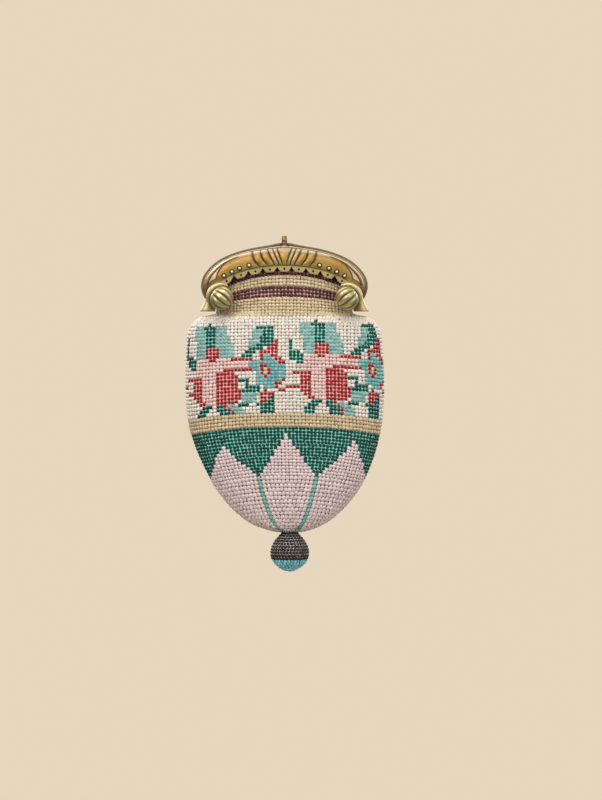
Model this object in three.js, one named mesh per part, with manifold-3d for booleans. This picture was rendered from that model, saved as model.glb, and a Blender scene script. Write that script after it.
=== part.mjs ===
// A bead-knitted purse on a pressed and gilt hinged frame, closed and hanging by the frame.
// Millimetres, +Z up, front towards -Y. The origin is the top of the frame, at the foot of the catch.
import * as THREE from "three";
import { mergeVertices } from "three/addons/utils/BufferGeometryUtils.js";
import Module from "manifold-3d";

const wasm = await Module();
wasm.setup();

const FRONT = -1;
const BACK = 1;
const LEFT = -1;
const RIGHT = 1;
const SIDES = [{ name: "left", sign: LEFT }, { name: "right", sign: RIGHT }];
const HALVES = [{ name: "front", sign: FRONT }, { name: "back", sign: BACK }];

// Driving sizes of the frame
const SEAM = 0.15; // each half stands this far off the middle plane
const RIM = {
  centreZ: -19.6,
  front: { halfWidth: 39.4, rise: 18.5 }, // the front rim sits just inside the back rim
  back: { halfWidth: 40.5, rise: 19.6 },
  endAngle: -20, // degrees below the level of the rim's centre
};
const RIDGE = { centreZ: -25.9, halfWidth: 35.8, rise: 15.7 }; // the plate's lower edge line
const PLATE = { depth: 7, wall: 0.9, narrowWall: 0.35, fullWidth: 9.2, taper: 0.6, sideStations: 11 };

// The plate across its width: share of the width from rim to ridge, share of the depth, and how much of
// the fan's flutes and of the sunk side panels shows there
const PLATE_PROFILE = [
  { across: 0.0, depth: 0.13, flute: 0, panel: 0 },
  { across: 0.13, depth: 0.16, flute: 0, panel: 0 },
  { across: 0.18, depth: 0.5, flute: 0.3, panel: 0 },
  { across: 0.24, depth: 0.66, flute: 1, panel: 1 },
  { across: 0.46, depth: 0.9, flute: 1, panel: 1 },
  { across: 0.52, depth: 0.96, flute: 1, panel: 0 },
  { across: 0.74, depth: 1.0, flute: 1, panel: 0 },
  { across: 0.93, depth: 0.97, flute: 0.6, panel: 0 },
  { across: 1.0, depth: 0.93, flute: 0, panel: 0 },
];
const INSIDE_POINTS = [0, 1, 3, 6, 8]; // rows of the profile that the inside of the plate follows
const PANEL = { sink: 0.5, from: 0.1, to: 0.76 }; // sunk side panels, as shares of the way from fan to end

// The fan in the middle of the plate: lines of one side, at the rim and at the ridge, with the height of
// the flute that lies inside each line
const FAN = [
  { atRim: 3.9, atRidge: 0.7, height: 0.5 },
  { atRim: 6.0, atRidge: 2.5, height: 0.35 },
  { atRim: 8.5, atRidge: 4.6, height: 0.35 },
  { atRim: 11.6, atRidge: 7.8, height: 0.6 },
  { atRim: 15.4, atRidge: 11.5, height: 0.5 },
];
const FLUTE_STEPS = 3;

// The sewing flange under the ridge, with a hole in each lobe
const LOBES = { count: 9, steps: 5, notch: 0.3 };
const FLANGE = { halfSpan: 29.6, drop: 3.1, tuck: 0.6, depth: 0.86, wall: 0.9 };
const SEWING_HOLE = { radius: 0.55, up: 1.35, sides: 6 };

const BOSS = { radius: 1.05, sides: 7, across: 0.8, angles: [38.3, 47.3, 55.2, 63.1] }; // degrees round the ridge
const KNOB = { x: 30.4, y: 8.6, z: -26.3, along: 5.4, across: 6.1, tilt: 38, levels: 6 };
const KNOB_RIBS = { count: 10, groove: 0.1, steps: 3 };
const COLLAR = { radius: 6.7, y: 6.6, from: 64, to: 200, steps: 7, seat: 0.3 };
const KNOB_SEAT_SIDES = 14;
const COLLAR_TUBE = { x: 1.6, y: 2.1, thinEnd: 0.35, sides: 6 };

// The flared foot of the right end, seen from the front
const FOOT = {
  depth: 3.5,
  bevel: 0.5,
  top: { inner: 36.2, outer: 38.2, z: -23.6 },
  waist: { inner: 36.2, z: -25.6 },
  outerBow: { x: 38.2, z: -27.6 },
  tip: { x: 41.0, z: -31.2 },
  toe: { x: 40.9, z: -32.3 },
  sole: { outer: 39.4, outerZ: -32.4, inner: 34.4, innerZ: -32.1 },
  innerBow: { x: 35.0, z: -28.6 },
};
const HINGE = { z: -28.9, inner: 35.5, middle: 37.25, outer: 38.9, sides: 12 };
const HINGE_RADIUS = { knuckle: 1.7, pin: 0.7, gap: 0.3 };

// The catch plunger, from its hidden collar up to its top
const PLUNGER_SIDES = 12;
const PLUNGER_PROFILE = [
  { radius: 0, z: -7.0 },
  { radius: 2.4, z: -7.0 },
  { radius: 2.4, z: -6.2 },
  { radius: 1.3, z: -6.2 },
  { radius: 1.35, z: 0.3 },
  { radius: 1.15, z: 2.0 },
  { radius: 1.28, z: 2.3 },
  { radius: 1.12, z: 4.0 },
  { radius: 0.85, z: 4.4 },
  { radius: 0, z: 4.4 },
];
const PLUNGER_HOLE = { radius: 1.65, from: -6, to: 3, sides: 16 };

// The bag, from its mouth inside the frame down to its foot. Each knitted row is higher at the front and
// back than at the sides. lens is 1 for an oval section and more where the sides are pinched flat.
const BAG_WALL = 1.6;
const BAG_AROUND = 40;
const BAG_ROWS = [
  { frontZ: -9.6, sideZ: -19.5, halfWidth: 32.4, halfDepth: 4.5, lens: 0.7, shift: 0 },
  { frontZ: -13.4, sideZ: -22.0, halfWidth: 32.8, halfDepth: 4.9, lens: 0.9, shift: 0 },
  { frontZ: -20.1, sideZ: -26.0, halfWidth: 33.0, halfDepth: 5.8, lens: 1.7, shift: 0 },
  { frontZ: -27.0, sideZ: -30.2, halfWidth: 33.0, halfDepth: 6.8, lens: 1.8, shift: 0 },
  { frontZ: -32.0, sideZ: -33.3, halfWidth: 33.6, halfDepth: 8.2, lens: 1.6, shift: 0 },
  { frontZ: -34.8, sideZ: -35.0, halfWidth: 40.2, halfDepth: 9.4, lens: 1.4, shift: 0 },
  { frontZ: -38.0, sideZ: -38.6, halfWidth: 45.3, halfDepth: 10.8, lens: 1.3, shift: 0 },
  { frontZ: -43.5, sideZ: -44.6, halfWidth: 47.5, halfDepth: 12.2, lens: 1.2, shift: 0 },
  { frontZ: -54.0, sideZ: -56.0, halfWidth: 48.4, halfDepth: 13.6, lens: 1.15, shift: 0.1 },
  { frontZ: -66.0, sideZ: -68.5, halfWidth: 48.7, halfDepth: 14.7, lens: 1.1, shift: 0.2 },
  { frontZ: -78.0, sideZ: -81.3, halfWidth: 48.1, halfDepth: 15.4, lens: 1.1, shift: 0.3 },
  { frontZ: -88.6, sideZ: -92.6, halfWidth: 46.3, halfDepth: 15.7, lens: 1.05, shift: 0.6 },
  { frontZ: -95.0, sideZ: -99.2, halfWidth: 44.5, halfDepth: 15.6, lens: 1.05, shift: 0.9 },
  { frontZ: -101.0, sideZ: -105.2, halfWidth: 42.2, halfDepth: 15.3, lens: 1, shift: 1.2 },
  { frontZ: -108.9, sideZ: -113.0, halfWidth: 38.7, halfDepth: 14.6, lens: 1, shift: 1.5 },
  { frontZ: -115.6, sideZ: -119.3, halfWidth: 35.0, halfDepth: 13.7, lens: 1, shift: 1.6 },
  { frontZ: -122.6, sideZ: -125.6, halfWidth: 30.3, halfDepth: 12.4, lens: 1, shift: 1.7 },
  { frontZ: -129.4, sideZ: -131.4, halfWidth: 24.6, halfDepth: 10.9, lens: 1, shift: 1.8 },
  { frontZ: -134.6, sideZ: -135.8, halfWidth: 18.8, halfDepth: 9.2, lens: 1, shift: 1.9 },
  { frontZ: -137.8, sideZ: -138.4, halfWidth: 13.0, halfDepth: 7.4, lens: 1, shift: 2.1 },
  { frontZ: -140.0, sideZ: -140.2, halfWidth: 6.2, halfDepth: 4.6, lens: 1, shift: 2.3 },
];
const BAG_POLE = { x: 2.4, z: -140.7 };
const ARCH_POWER = 2.2; // how the rows fall from the front towards the sides
const EDGE_POWER = 0.6; // roundness of the wall at the bag's sides
const INNER_ROW_STEP = 2; // the inside follows every second row
const INNER_PINCH = 0.15; // how far the inside stops short of pinched sides

// The bead-covered ball: radius and height from its foot up to where it meets the bag
const BALL_X = 2.5;
const BALL_SIDES = 20;
const BALL_PROFILE = [
  { radius: 0, z: -159.7 },
  { radius: 3.4, z: -159.1 },
  { radius: 6.4, z: -157.2 },
  { radius: 8.6, z: -154.3 },
  { radius: 9.6, z: -150.8 },
  { radius: 9.3, z: -147.4 },
  { radius: 8.1, z: -144.5 },
  { radius: 6.3, z: -142.2 },
  { radius: 4.6, z: -141.3 },
  { radius: 0, z: -141.1 },
];

const gilt = { color: 0xb99450, roughness: 0.35, metalness: 1 };
const giltShade = { color: 0xa8945f, roughness: 0.42, metalness: 1 };
const brass = { color: 0x9a7a45, roughness: 0.4, metalness: 1 };
const beadwork = { color: 0xd6c8b4, roughness: 0.45, metalness: 0 };
const darkBeads = { color: 0x4a4644, roughness: 0.4, metalness: 0 };

const WELD = 0.004;
const radians = THREE.MathUtils.degToRad;
const lerp = THREE.MathUtils.lerp;
const signedPower = (value, power) => Math.sign(value) * Math.abs(value) ** power;

// Solids

function solidOf(geometry) {
  const bare = geometry.clone();
  bare.deleteAttribute("normal");
  bare.deleteAttribute("uv");
  const merged = mergeVertices(bare, 1e-4);
  const triVerts = new Uint32Array(merged.index.array);
  const vertProperties = merged.attributes.position.array;
  return new wasm.Manifold(new wasm.Mesh({ numProp: 3, vertProperties, triVerts }));
}

// Back to a mesh, with corners that lie within the weld distance joined into one
function geometryOf(solid) {
  const made = solid.getMesh();
  const cut = new THREE.BufferGeometry();
  cut.setAttribute("position", new THREE.BufferAttribute(made.vertProperties, 3));
  cut.setIndex(new THREE.BufferAttribute(made.triVerts, 1));
  const welded = mergeVertices(cut, WELD);
  const corners = Array.from(welded.index.array);
  const triangles = corners.filter((_, i) => i % 3 === 0).map((_, i) => corners.slice(3 * i, 3 * i + 3));
  welded.setIndex(triangles.filter((t) => new Set(t).size === 3).flat());
  welded.computeVertexNormals();
  return welded;
}

function signedVolume(points, triangles) {
  const cross = new THREE.Vector3();
  return triangles.reduce((sum, [a, b, c]) => {
    return sum + points[a].dot(cross.crossVectors(points[b], points[c])) / 6;
  }, 0);
}

// A closed body through rings of points. Each end closes on a pole, or on its own ring cut into triangles.
function loft(rings, { startPole, endPole, capTriangles } = {}) {
  const count = rings[0].length;
  const points = rings.flat();
  const triangles = [];
  for (let row = 0; row + 1 < rings.length; row++) {
    for (let i = 0; i < count; i++) {
      const a = row * count + i;
      const b = row * count + ((i + 1) % count);
      triangles.push([a, b, a + count], [b, b + count, a + count]);
    }
  }
  const last = (rings.length - 1) * count;
  if (startPole) {
    const pole = points.push(startPole) - 1;
    for (let i = 0; i < count; i++) triangles.push([pole, (i + 1) % count, i]);
  }
  if (endPole) {
    const pole = points.push(endPole) - 1;
    for (let i = 0; i < count; i++) triangles.push([pole, last + i, last + ((i + 1) % count)]);
  }
  if (capTriangles) {
    capTriangles(0).forEach(([a, b, c]) => triangles.push([a, c, b]));
    capTriangles(rings.length - 1).forEach(([a, b, c]) => triangles.push([last + a, last + b, last + c]));
  }
  if (signedVolume(points, triangles) < 0) triangles.forEach((t) => t.reverse());
  const geometry = new THREE.BufferGeometry().setFromPoints(points);
  geometry.setIndex(triangles.flat());
  return geometry;
}

function cylinderAlongX(radius, fromX, toX, z, sides) {
  const geometry = new THREE.CylinderGeometry(radius, radius, Math.abs(toX - fromX), sides);
  return geometry.rotateZ(Math.PI / 2).translate((fromX + toX) / 2, 0, z);
}

function node(name, geometry, finish) {
  const mesh = new THREE.Mesh(geometry, new THREE.MeshStandardMaterial(finish));
  mesh.name = name;
  return mesh;
}

// Frame plate

const ellipseAt = (ellipse, centreZ, angle) =>
  new THREE.Vector2(ellipse.halfWidth * Math.cos(angle), centreZ + ellipse.rise * Math.sin(angle));

// Stations along the plate from the left end to the right end: the angles at rim and ridge, the height of
// the flute there and the depth of the sunk panel
function plateStations(rim) {
  const fanRim = FAN.map((line) => Math.acos(line.atRim / rim.halfWidth));
  const fanRidge = FAN.map((line) => Math.acos(line.atRidge / RIDGE.halfWidth));
  const rightHalf = [];
  for (let step = 0; step <= PLATE.sideStations; step++) {
    const share = step / PLATE.sideStations;
    const along = 1 - share; // 0 beside the fan, 1 at the end
    const sunk = along >= PANEL.from && along <= PANEL.to;
    rightHalf.push({
      rim: lerp(radians(RIM.endAngle), fanRim.at(-1), share),
      ridge: lerp(0, fanRidge.at(-1), share),
      flute: 0,
      sink: sunk ? PANEL.sink * Math.sqrt((along - PANEL.from) / (PANEL.to - PANEL.from)) : 0,
    });
  }
  for (let line = FAN.length - 1; line >= 0; line--) {
    const inner = line > 0 ? { rim: fanRim[line - 1], ridge: fanRidge[line - 1] } : null;
    const target = inner ?? { rim: Math.PI / 2, ridge: Math.PI / 2 };
    const span = inner ? 1 : 2; // the middle flute crosses to the other side
    for (let step = 1; step <= FLUTE_STEPS; step++) {
      const share = step / FLUTE_STEPS;
      rightHalf.push({
        rim: lerp(fanRim[line], target.rim, share),
        ridge: lerp(fanRidge[line], target.ridge, share),
        flute: FAN[line].height * Math.sin((Math.PI * share) / span) ** 0.8,
        sink: 0,
      });
    }
  }
  const leftHalf = rightHalf.slice(0, -1).reverse();
  const mirrored = leftHalf.map((s) => ({ ...s, rim: Math.PI - s.rim, ridge: Math.PI - s.ridge }));
  return [...rightHalf, ...mirrored];
}

// The plate's section at a station: outer and inner lines as points of width and depth, in millimetres
function plateSection(rim, station) {
  const outerEdge = ellipseAt(rim, RIM.centreZ, station.rim);
  const ridge = ellipseAt(RIDGE, RIDGE.centreZ, station.ridge);
  const width = outerEdge.distanceTo(ridge);
  const depth = PLATE.depth * Math.min(1, (width / PLATE.fullWidth) ** PLATE.taper);
  const wall = Math.min(PLATE.wall, PLATE.narrowWall * width);
  const relief = (p) => station.flute * p.flute - station.sink * p.panel;
  const outer = PLATE_PROFILE.map((p) => new THREE.Vector2(p.across * width, p.depth * depth + relief(p)));
  const plain = PLATE_PROFILE.map((p) => new THREE.Vector2(p.across * width, p.depth * depth));
  const inner = plain.map((p, i) => {
    const before = plain[Math.max(i - 1, 0)];
    const after = plain[Math.min(i + 1, plain.length - 1)];
    const along = after.clone().sub(before).normalize();
    return new THREE.Vector2(p.x + along.y * wall, p.y - along.x * wall);
  });
  inner[0].set(0, 0);
  inner[1].set(inner[1].x, 0);
  const followed = INSIDE_POINTS.map((i) => inner[i]);
  return { outerEdge, ridge, width, depth, outer, inner: followed };
}

// A point of a half from its place across the plate and its depth
function platePoint(section, sign, across, depth) {
  const share = across / section.width;
  const x = lerp(section.outerEdge.x, section.ridge.x, share);
  const z = lerp(section.outerEdge.y, section.ridge.y, share);
  return new THREE.Vector3(x, sign * (SEAM + depth), z);
}

function plateBody(half) {
  const rim = RIM[half.name];
  const sections = plateStations(rim).map((station) => plateSection(rim, station));
  const loops = sections.map((section) => [...section.outer, ...section.inner.slice().reverse()]);
  const rings = sections.map((section, i) => loops[i].map((p) => platePoint(section, half.sign, p.x, p.y)));
  const inOrder = (triangle) => triangle.slice().sort((a, b) => a - b);
  const capTriangles = (row) => THREE.ShapeUtils.triangulateShape(loops[row], []).map(inOrder);
  return solidOf(loft(rings, { capTriangles }));
}

// Sewing flange

function flangeBody(half) {
  const end = Math.acos(FLANGE.halfSpan / RIDGE.halfWidth);
  const stations = LOBES.count * LOBES.steps;
  const near = half.sign * (SEAM + PLATE.depth * FLANGE.depth - FLANGE.wall);
  const far = half.sign * (SEAM + PLATE.depth * FLANGE.depth);
  const rings = [];
  for (let i = 0; i <= stations; i++) {
    const angle = lerp(end, Math.PI - end, i / stations);
    const lobe = Math.abs(Math.sin((Math.PI * i) / LOBES.steps));
    const drop = FLANGE.drop * lerp(LOBES.notch, 1, lobe ** 0.7);
    const line = ellipseAt(RIDGE, RIDGE.centreZ, angle);
    const top = line.y + FLANGE.tuck;
    rings.push([
      new THREE.Vector3(line.x, far, top),
      new THREE.Vector3(line.x, far, line.y - drop),
      new THREE.Vector3(line.x, near, line.y - drop),
      new THREE.Vector3(line.x, near, top),
    ]);
  }
  const square = () => [[0, 1, 2], [0, 2, 3]];
  return solidOf(loft(rings, { capTriangles: square }));
}

function sewingHoles(half) {
  const end = Math.acos(FLANGE.halfSpan / RIDGE.halfWidth);
  return Array.from({ length: LOBES.count }, (_, lobe) => {
    const angle = lerp(end, Math.PI - end, (lobe + 0.5) / LOBES.count);
    const line = ellipseAt(RIDGE, RIDGE.centreZ, angle);
    const hole = new THREE.CylinderGeometry(SEWING_HOLE.radius, SEWING_HOLE.radius, 4, SEWING_HOLE.sides);
    const y = half.sign * (SEAM + PLATE.depth * FLANGE.depth - FLANGE.wall / 2);
    return solidOf(hole.translate(line.x, y, line.y - FLANGE.drop + SEWING_HOLE.up));
  });
}

// Raised bosses along the plate

function bossBodies(half) {
  const rim = RIM[half.name];
  return SIDES.flatMap((side) => BOSS.angles.map((degrees) => {
    const share = radians(degrees) / (Math.PI / 2);
    const ridge = side.sign === RIGHT ? radians(degrees) : Math.PI - radians(degrees);
    const rimRight = lerp(radians(RIM.endAngle), Math.PI / 2, share);
    const station = { rim: side.sign === RIGHT ? rimRight : Math.PI - rimRight, ridge, flute: 0, sink: 0 };
    const section = plateSection(rim, station);
    const centre = platePoint(section, half.sign, BOSS.across * section.width, section.depth);
    const ball = new THREE.SphereGeometry(BOSS.radius, BOSS.sides, BOSS.sides - 2);
    return solidOf(ball.translate(...centre.toArray()));
  }));
}

// Scroll collar, a tapering crescent hollowed to seat a knob with a small gap

function knobSeat(half, side) {
  const seat = new THREE.SphereGeometry(1, KNOB_SEAT_SIDES, KNOB_SEAT_SIDES / 2);
  seat.scale(KNOB.along + COLLAR.seat, KNOB.across + COLLAR.seat, KNOB.across + COLLAR.seat);
  seat.rotateY(-side.sign * radians(KNOB.tilt));
  return solidOf(seat.translate(side.sign * KNOB.x, half.sign * KNOB.y, KNOB.z));
}

const middleOf = (points) =>
  points.reduce((sum, p) => sum.add(p), new THREE.Vector3()).divideScalar(points.length);

function collarBody(half, side) {
  const rings = [];
  for (let i = 0; i <= COLLAR.steps; i++) {
    const share = i / COLLAR.steps;
    const angle = radians(lerp(COLLAR.from, COLLAR.to, share));
    const swell = lerp(COLLAR_TUBE.thinEnd, 1, Math.sin(Math.PI * share) ** 0.7);
    rings.push(Array.from({ length: COLLAR_TUBE.sides }, (_, k) => {
      const turn = (2 * Math.PI * k) / COLLAR_TUBE.sides;
      const radius = COLLAR.radius + COLLAR_TUBE.x * swell * Math.cos(turn);
      const x = side.sign * (KNOB.x - radius * Math.cos(angle));
      const y = half.sign * (COLLAR.y + COLLAR_TUBE.y * swell * Math.sin(turn));
      return new THREE.Vector3(x, y, KNOB.z + radius * Math.sin(angle));
    }));
  }
  const crescent = loft(rings, { startPole: middleOf(rings[0]), endPole: middleOf(rings.at(-1)) });
  return solidOf(crescent).subtract(knobSeat(half, side));
}

// Flared foot under the waist of each end, with its hinge knuckle

// The outline is drawn for the right foot, and turned to the other side or upside down by its signs
function footOutline(signX, signZ) {
  const outline = new THREE.Shape();
  const at = (x, z) => [signX * x, signZ * z];
  const { top, waist, outerBow, tip, toe, sole, innerBow } = FOOT;
  outline.moveTo(...at(top.inner, top.z));
  outline.lineTo(...at(top.outer, top.z));
  outline.quadraticCurveTo(...at(outerBow.x, outerBow.z), ...at(tip.x, tip.z));
  outline.quadraticCurveTo(...at(toe.x, toe.z), ...at(sole.outer, sole.outerZ));
  outline.lineTo(...at(sole.inner, sole.innerZ));
  outline.quadraticCurveTo(...at(innerBow.x, innerBow.z), ...at(waist.inner, waist.z));
  return outline;
}

function footBody(half, side) {
  const outline = footOutline(side.sign, -half.sign);
  const bevel = { bevelSize: FOOT.bevel, bevelThickness: FOOT.bevel, bevelOffset: -FOOT.bevel };
  const depth = FOOT.depth - FOOT.bevel;
  const slab = new THREE.ExtrudeGeometry(outline, { depth, curveSegments: 4, bevelSegments: 1, ...bevel });
  slab.rotateX((-half.sign * Math.PI) / 2); // depth runs outwards from the middle plane
  const beyondSeam = new THREE.BoxGeometry(100, 10, 60).translate(0, half.sign * (SEAM - 5), HINGE.z);
  return solidOf(slab).subtract(solidOf(beyondSeam));
}

function knuckleSpan(half) {
  const gap = HINGE_RADIUS.gap / 2;
  return half.sign === FRONT ? [HINGE.inner, HINGE.middle - gap] : [HINGE.middle + gap, HINGE.outer];
}

function knuckleBody(half, side, extraRadius, extraLength) {
  const [from, to] = knuckleSpan(half);
  const radius = HINGE_RADIUS.knuckle + extraRadius;
  const ends = [side.sign * (from - extraLength), side.sign * (to + extraLength)];
  return solidOf(cylinderAlongX(radius, ...ends, HINGE.z, HINGE.sides));
}

function pinHole(side) {
  const reach = [side.sign * (HINGE.inner - 3), side.sign * (HINGE.outer + 3)];
  return solidOf(cylinderAlongX(HINGE_RADIUS.pin + HINGE_RADIUS.gap, ...reach, HINGE.z, HINGE.sides));
}

// One frame half, pressed and soldered into one piece

function frameHalf(half) {
  const other = HALVES.find((h) => h !== half);
  let body = plateBody(half).add(flangeBody(half));
  bossBodies(half).forEach((boss) => { body = body.add(boss); });
  SIDES.forEach((side) => {
    body = body.add(collarBody(half, side)).add(footBody(half, side)).subtract(knobSeat(half, side));
    body = body.subtract(knuckleBody(other, side, HINGE_RADIUS.gap, HINGE_RADIUS.gap / 2));
    body = body.add(knuckleBody(half, side, 0, 0)).subtract(pinHole(side));
  });
  sewingHoles(half).forEach((hole) => { body = body.subtract(hole); });
  const { radius, from, to, sides } = PLUNGER_HOLE;
  const bore = new THREE.CylinderGeometry(radius, radius, to - from, sides).rotateX(Math.PI / 2);
  body = body.subtract(solidOf(bore.translate(0, 0, (from + to) / 2)));
  return node("frame_" + half.name, geometryOf(body), gilt);
}

// Ribbed bud knob, a flattened melon whose axis runs from the collar down towards the middle

function ribbedKnob(half, side) {
  const around = KNOB_RIBS.count * KNOB_RIBS.steps;
  const rings = [];
  for (let level = 1; level < KNOB.levels; level++) {
    const polar = (Math.PI * level) / KNOB.levels;
    rings.push(Array.from({ length: around }, (_, k) => {
      const turn = (2 * Math.PI * k) / around;
      const rib = 1 - KNOB_RIBS.groove * (1 - Math.abs(Math.sin((KNOB_RIBS.count * turn) / 2)));
      const radius = KNOB.across * Math.sin(polar) * rib;
      const along = KNOB.along * Math.cos(polar);
      return new THREE.Vector3(along, radius * Math.cos(turn), radius * Math.sin(turn));
    }));
  }
  const startPole = new THREE.Vector3(KNOB.along, 0, 0);
  const endPole = new THREE.Vector3(-KNOB.along, 0, 0);
  const geometry = loft(rings, { startPole, endPole });
  const mesh = node("knob_" + half.name + "_" + side.name, geometry, giltShade);
  mesh.position.set(side.sign * KNOB.x, half.sign * KNOB.y, KNOB.z);
  mesh.rotation.y = -side.sign * radians(KNOB.tilt);
  return mesh;
}

function hingePin(side) {
  const ends = [side.sign * HINGE.inner, side.sign * HINGE.outer];
  const geometry = cylinderAlongX(HINGE_RADIUS.pin, ...ends, HINGE.z, HINGE.sides);
  return node("hinge_pin_" + side.name, geometry, brass);
}

// A turned piece: the profile runs from the axis at its foot to the axis at its top
function turned(profile, sides) {
  const line = profile.map((p) => new THREE.Vector2(p.radius, p.z));
  return new THREE.LatheGeometry(line, sides).rotateX(Math.PI / 2);
}

const catchPlunger = () => node("catch_plunger", turned(PLUNGER_PROFILE, PLUNGER_SIDES), brass);

function beadBall() {
  return node("bead_ball", turned(BALL_PROFILE, BALL_SIDES).translate(BALL_X, 0, 0), darkBeads);
}

// Bead-knitted bag

// Outward direction of the wall at a row, in the plane of its size and height
function outward(rows, i, size, height) {
  const above = rows[Math.max(i - 1, 0)];
  const below = rows[Math.min(i + 1, rows.length - 1)];
  return new THREE.Vector2(above[height] - below[height], below[size] - above[size]).normalize();
}

function outerRing(row) {
  return ring((s, c) => new THREE.Vector3(
    row.shift + row.halfWidth * s,
    -(row.halfDepth - BAG_WALL) * signedPower(c, row.lens) - BAG_WALL * signedPower(c, EDGE_POWER),
    lerp(row.frontZ, row.sideZ, Math.abs(s) ** ARCH_POWER),
  ));
}

function innerRing(row, i) {
  const level = new THREE.Vector2(1, 0);
  const side = i === 0 ? level : outward(BAG_ROWS, i, "halfWidth", "sideZ");
  const front = i === 0 ? level : outward(BAG_ROWS, i, "halfDepth", "frontZ");
  const halfWidth = (row.halfWidth - BAG_WALL * side.x) * (1 - INNER_PINCH * Math.max(0, row.lens - 1));
  const halfDepth = row.halfDepth - BAG_WALL * front.x;
  const frontZ = row.frontZ - BAG_WALL * front.y;
  const sideZ = row.sideZ - BAG_WALL * side.y;
  return ring((s, c) => new THREE.Vector3(
    row.shift + halfWidth * s,
    -halfDepth * signedPower(c, Math.min(1, row.lens)),
    lerp(frontZ, sideZ, Math.abs(s) ** ARCH_POWER),
  ));
}

function ring(point) {
  return Array.from({ length: BAG_AROUND }, (_, k) => {
    const turn = (2 * Math.PI * k) / BAG_AROUND;
    const c = Math.cos(turn);
    return point(Math.sin(turn), Math.abs(c) < 1e-9 ? 0 : c);
  });
}

function beadedBag() {
  const outer = BAG_ROWS.map(outerRing);
  const followed = (i) => i % INNER_ROW_STEP === 0 && i < BAG_ROWS.length - 1;
  const inner = BAG_ROWS.map(innerRing).filter((_, i) => followed(i));
  const endPole = new THREE.Vector3(BAG_POLE.x, 0, BAG_POLE.z + BAG_WALL);
  const startPole = new THREE.Vector3(BAG_POLE.x, 0, BAG_POLE.z);
  return node("bag", loft([...outer.reverse(), ...inner], { startPole, endPole }), beadwork);
}

// The whole purse

const purse = new THREE.Group();
HALVES.forEach((half) => {
  purse.add(frameHalf(half));
  SIDES.forEach((side) => purse.add(ribbedKnob(half, side)));
});
SIDES.forEach((side) => purse.add(hingePin(side)));
purse.add(catchPlunger(), beadedBag(), beadBall());

export default purse;
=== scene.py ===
# Bead-knitted purse on a pressed gilt frame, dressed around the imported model. +Z up, front towards -Y.
import math
import bpy
import numpy as np
from mathutils import Matrix, Vector


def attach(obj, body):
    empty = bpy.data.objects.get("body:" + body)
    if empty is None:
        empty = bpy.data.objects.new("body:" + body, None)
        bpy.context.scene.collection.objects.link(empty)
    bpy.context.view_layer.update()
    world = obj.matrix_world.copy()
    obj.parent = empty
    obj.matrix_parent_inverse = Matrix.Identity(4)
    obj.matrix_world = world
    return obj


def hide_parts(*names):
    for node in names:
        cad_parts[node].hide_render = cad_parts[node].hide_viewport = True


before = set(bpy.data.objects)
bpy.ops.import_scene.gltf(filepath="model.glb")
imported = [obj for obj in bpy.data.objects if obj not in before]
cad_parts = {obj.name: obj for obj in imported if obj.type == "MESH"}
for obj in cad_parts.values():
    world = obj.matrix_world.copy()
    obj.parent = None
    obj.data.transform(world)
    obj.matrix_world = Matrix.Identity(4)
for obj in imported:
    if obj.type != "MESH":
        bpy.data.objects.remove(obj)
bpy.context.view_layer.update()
mm = 0.001  # the tables below are in millimetres
scatter = np.random.default_rng(1840)
sides = {"left": -1, "right": 1}
halves = {"front": -1, "back": 1}


# Small helpers

def pick(*pieces):
    bpy.ops.object.select_all(action="DESELECT")
    for piece in pieces:
        piece.select_set(True)
    bpy.context.view_layer.objects.active = pieces[0]


def newest(name):
    piece = bpy.context.active_object
    piece.name = name
    piece.data.name = name
    return piece


def freeze(piece):
    pick(piece)
    bpy.ops.object.transform_apply(location=True, rotation=True, scale=True)


def applyAll(piece):
    pick(piece)
    for modifier in list(piece.modifiers):
        bpy.ops.object.modifier_apply(modifier=modifier.name)


def editAll(piece):
    pick(piece)
    bpy.ops.object.mode_set(mode="EDIT")
    bpy.ops.mesh.select_all(action="SELECT")


def closeUp(piece, reach=1e-6):
    editAll(piece)
    bpy.ops.mesh.remove_doubles(threshold=reach)
    bpy.ops.mesh.normals_make_consistent(inside=False)
    bpy.ops.object.mode_set(mode="OBJECT")


def thicken(piece, thickness):
    wall = piece.modifiers.new("wall", "SOLIDIFY")
    wall.thickness = thickness * mm
    wall.offset = -1
    applyAll(piece)


def roundEdges(piece, width, segments, degrees):
    rounded = piece.modifiers.new("rounded", "BEVEL")
    rounded.width = width * mm
    rounded.segments = segments
    rounded.limit_method = "ANGLE"
    rounded.angle_limit = math.radians(degrees)
    applyAll(piece)


def faceAlongY(piece, direction):
    if sum(face.normal.y * face.area for face in piece.data.polygons) * direction < 0:
        piece.data.flip_normals()


def softEdges(piece, degrees=38):
    pick(piece)
    bpy.ops.object.shade_smooth_by_angle(angle=math.radians(degrees))


def joined(name, pieces):
    pick(*pieces)
    bpy.ops.object.join()
    return newest(name)


def copied(piece, name, place):
    twin = piece.copy()
    twin.data = piece.data.copy()
    bpy.context.collection.objects.link(twin)
    twin.name = name
    twin.data.transform(place)
    if place.determinant() < 0:
        twin.data.flip_normals()
    return twin


def pointsOf(piece):
    points = np.empty(len(piece.data.vertices) * 3, np.float32)
    piece.data.vertices.foreach_get("co", points)
    return points.reshape(-1, 3).astype(float)


def movePoints(piece, points):
    piece.data.vertices.foreach_set("co", np.asarray(points, np.float32).ravel())
    piece.data.update()


# A flat grid to be shaped, with the share of the way along and down it for each point
def flatGrid(name, stations, rows):
    bpy.ops.mesh.primitive_grid_add(x_subdivisions=stations, y_subdivisions=rows, size=2)
    piece = newest(name)
    along, down = (pointsOf(piece)[:, :2].T + 1) / 2
    return piece, along, down


def columns(x, y, z):
    return np.stack(np.broadcast_arrays(x, y, z), axis=-1)


def lengthAlong(line):
    return np.concatenate([[0], np.cumsum(np.linalg.norm(np.diff(line, axis=0), axis=1))])


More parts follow.
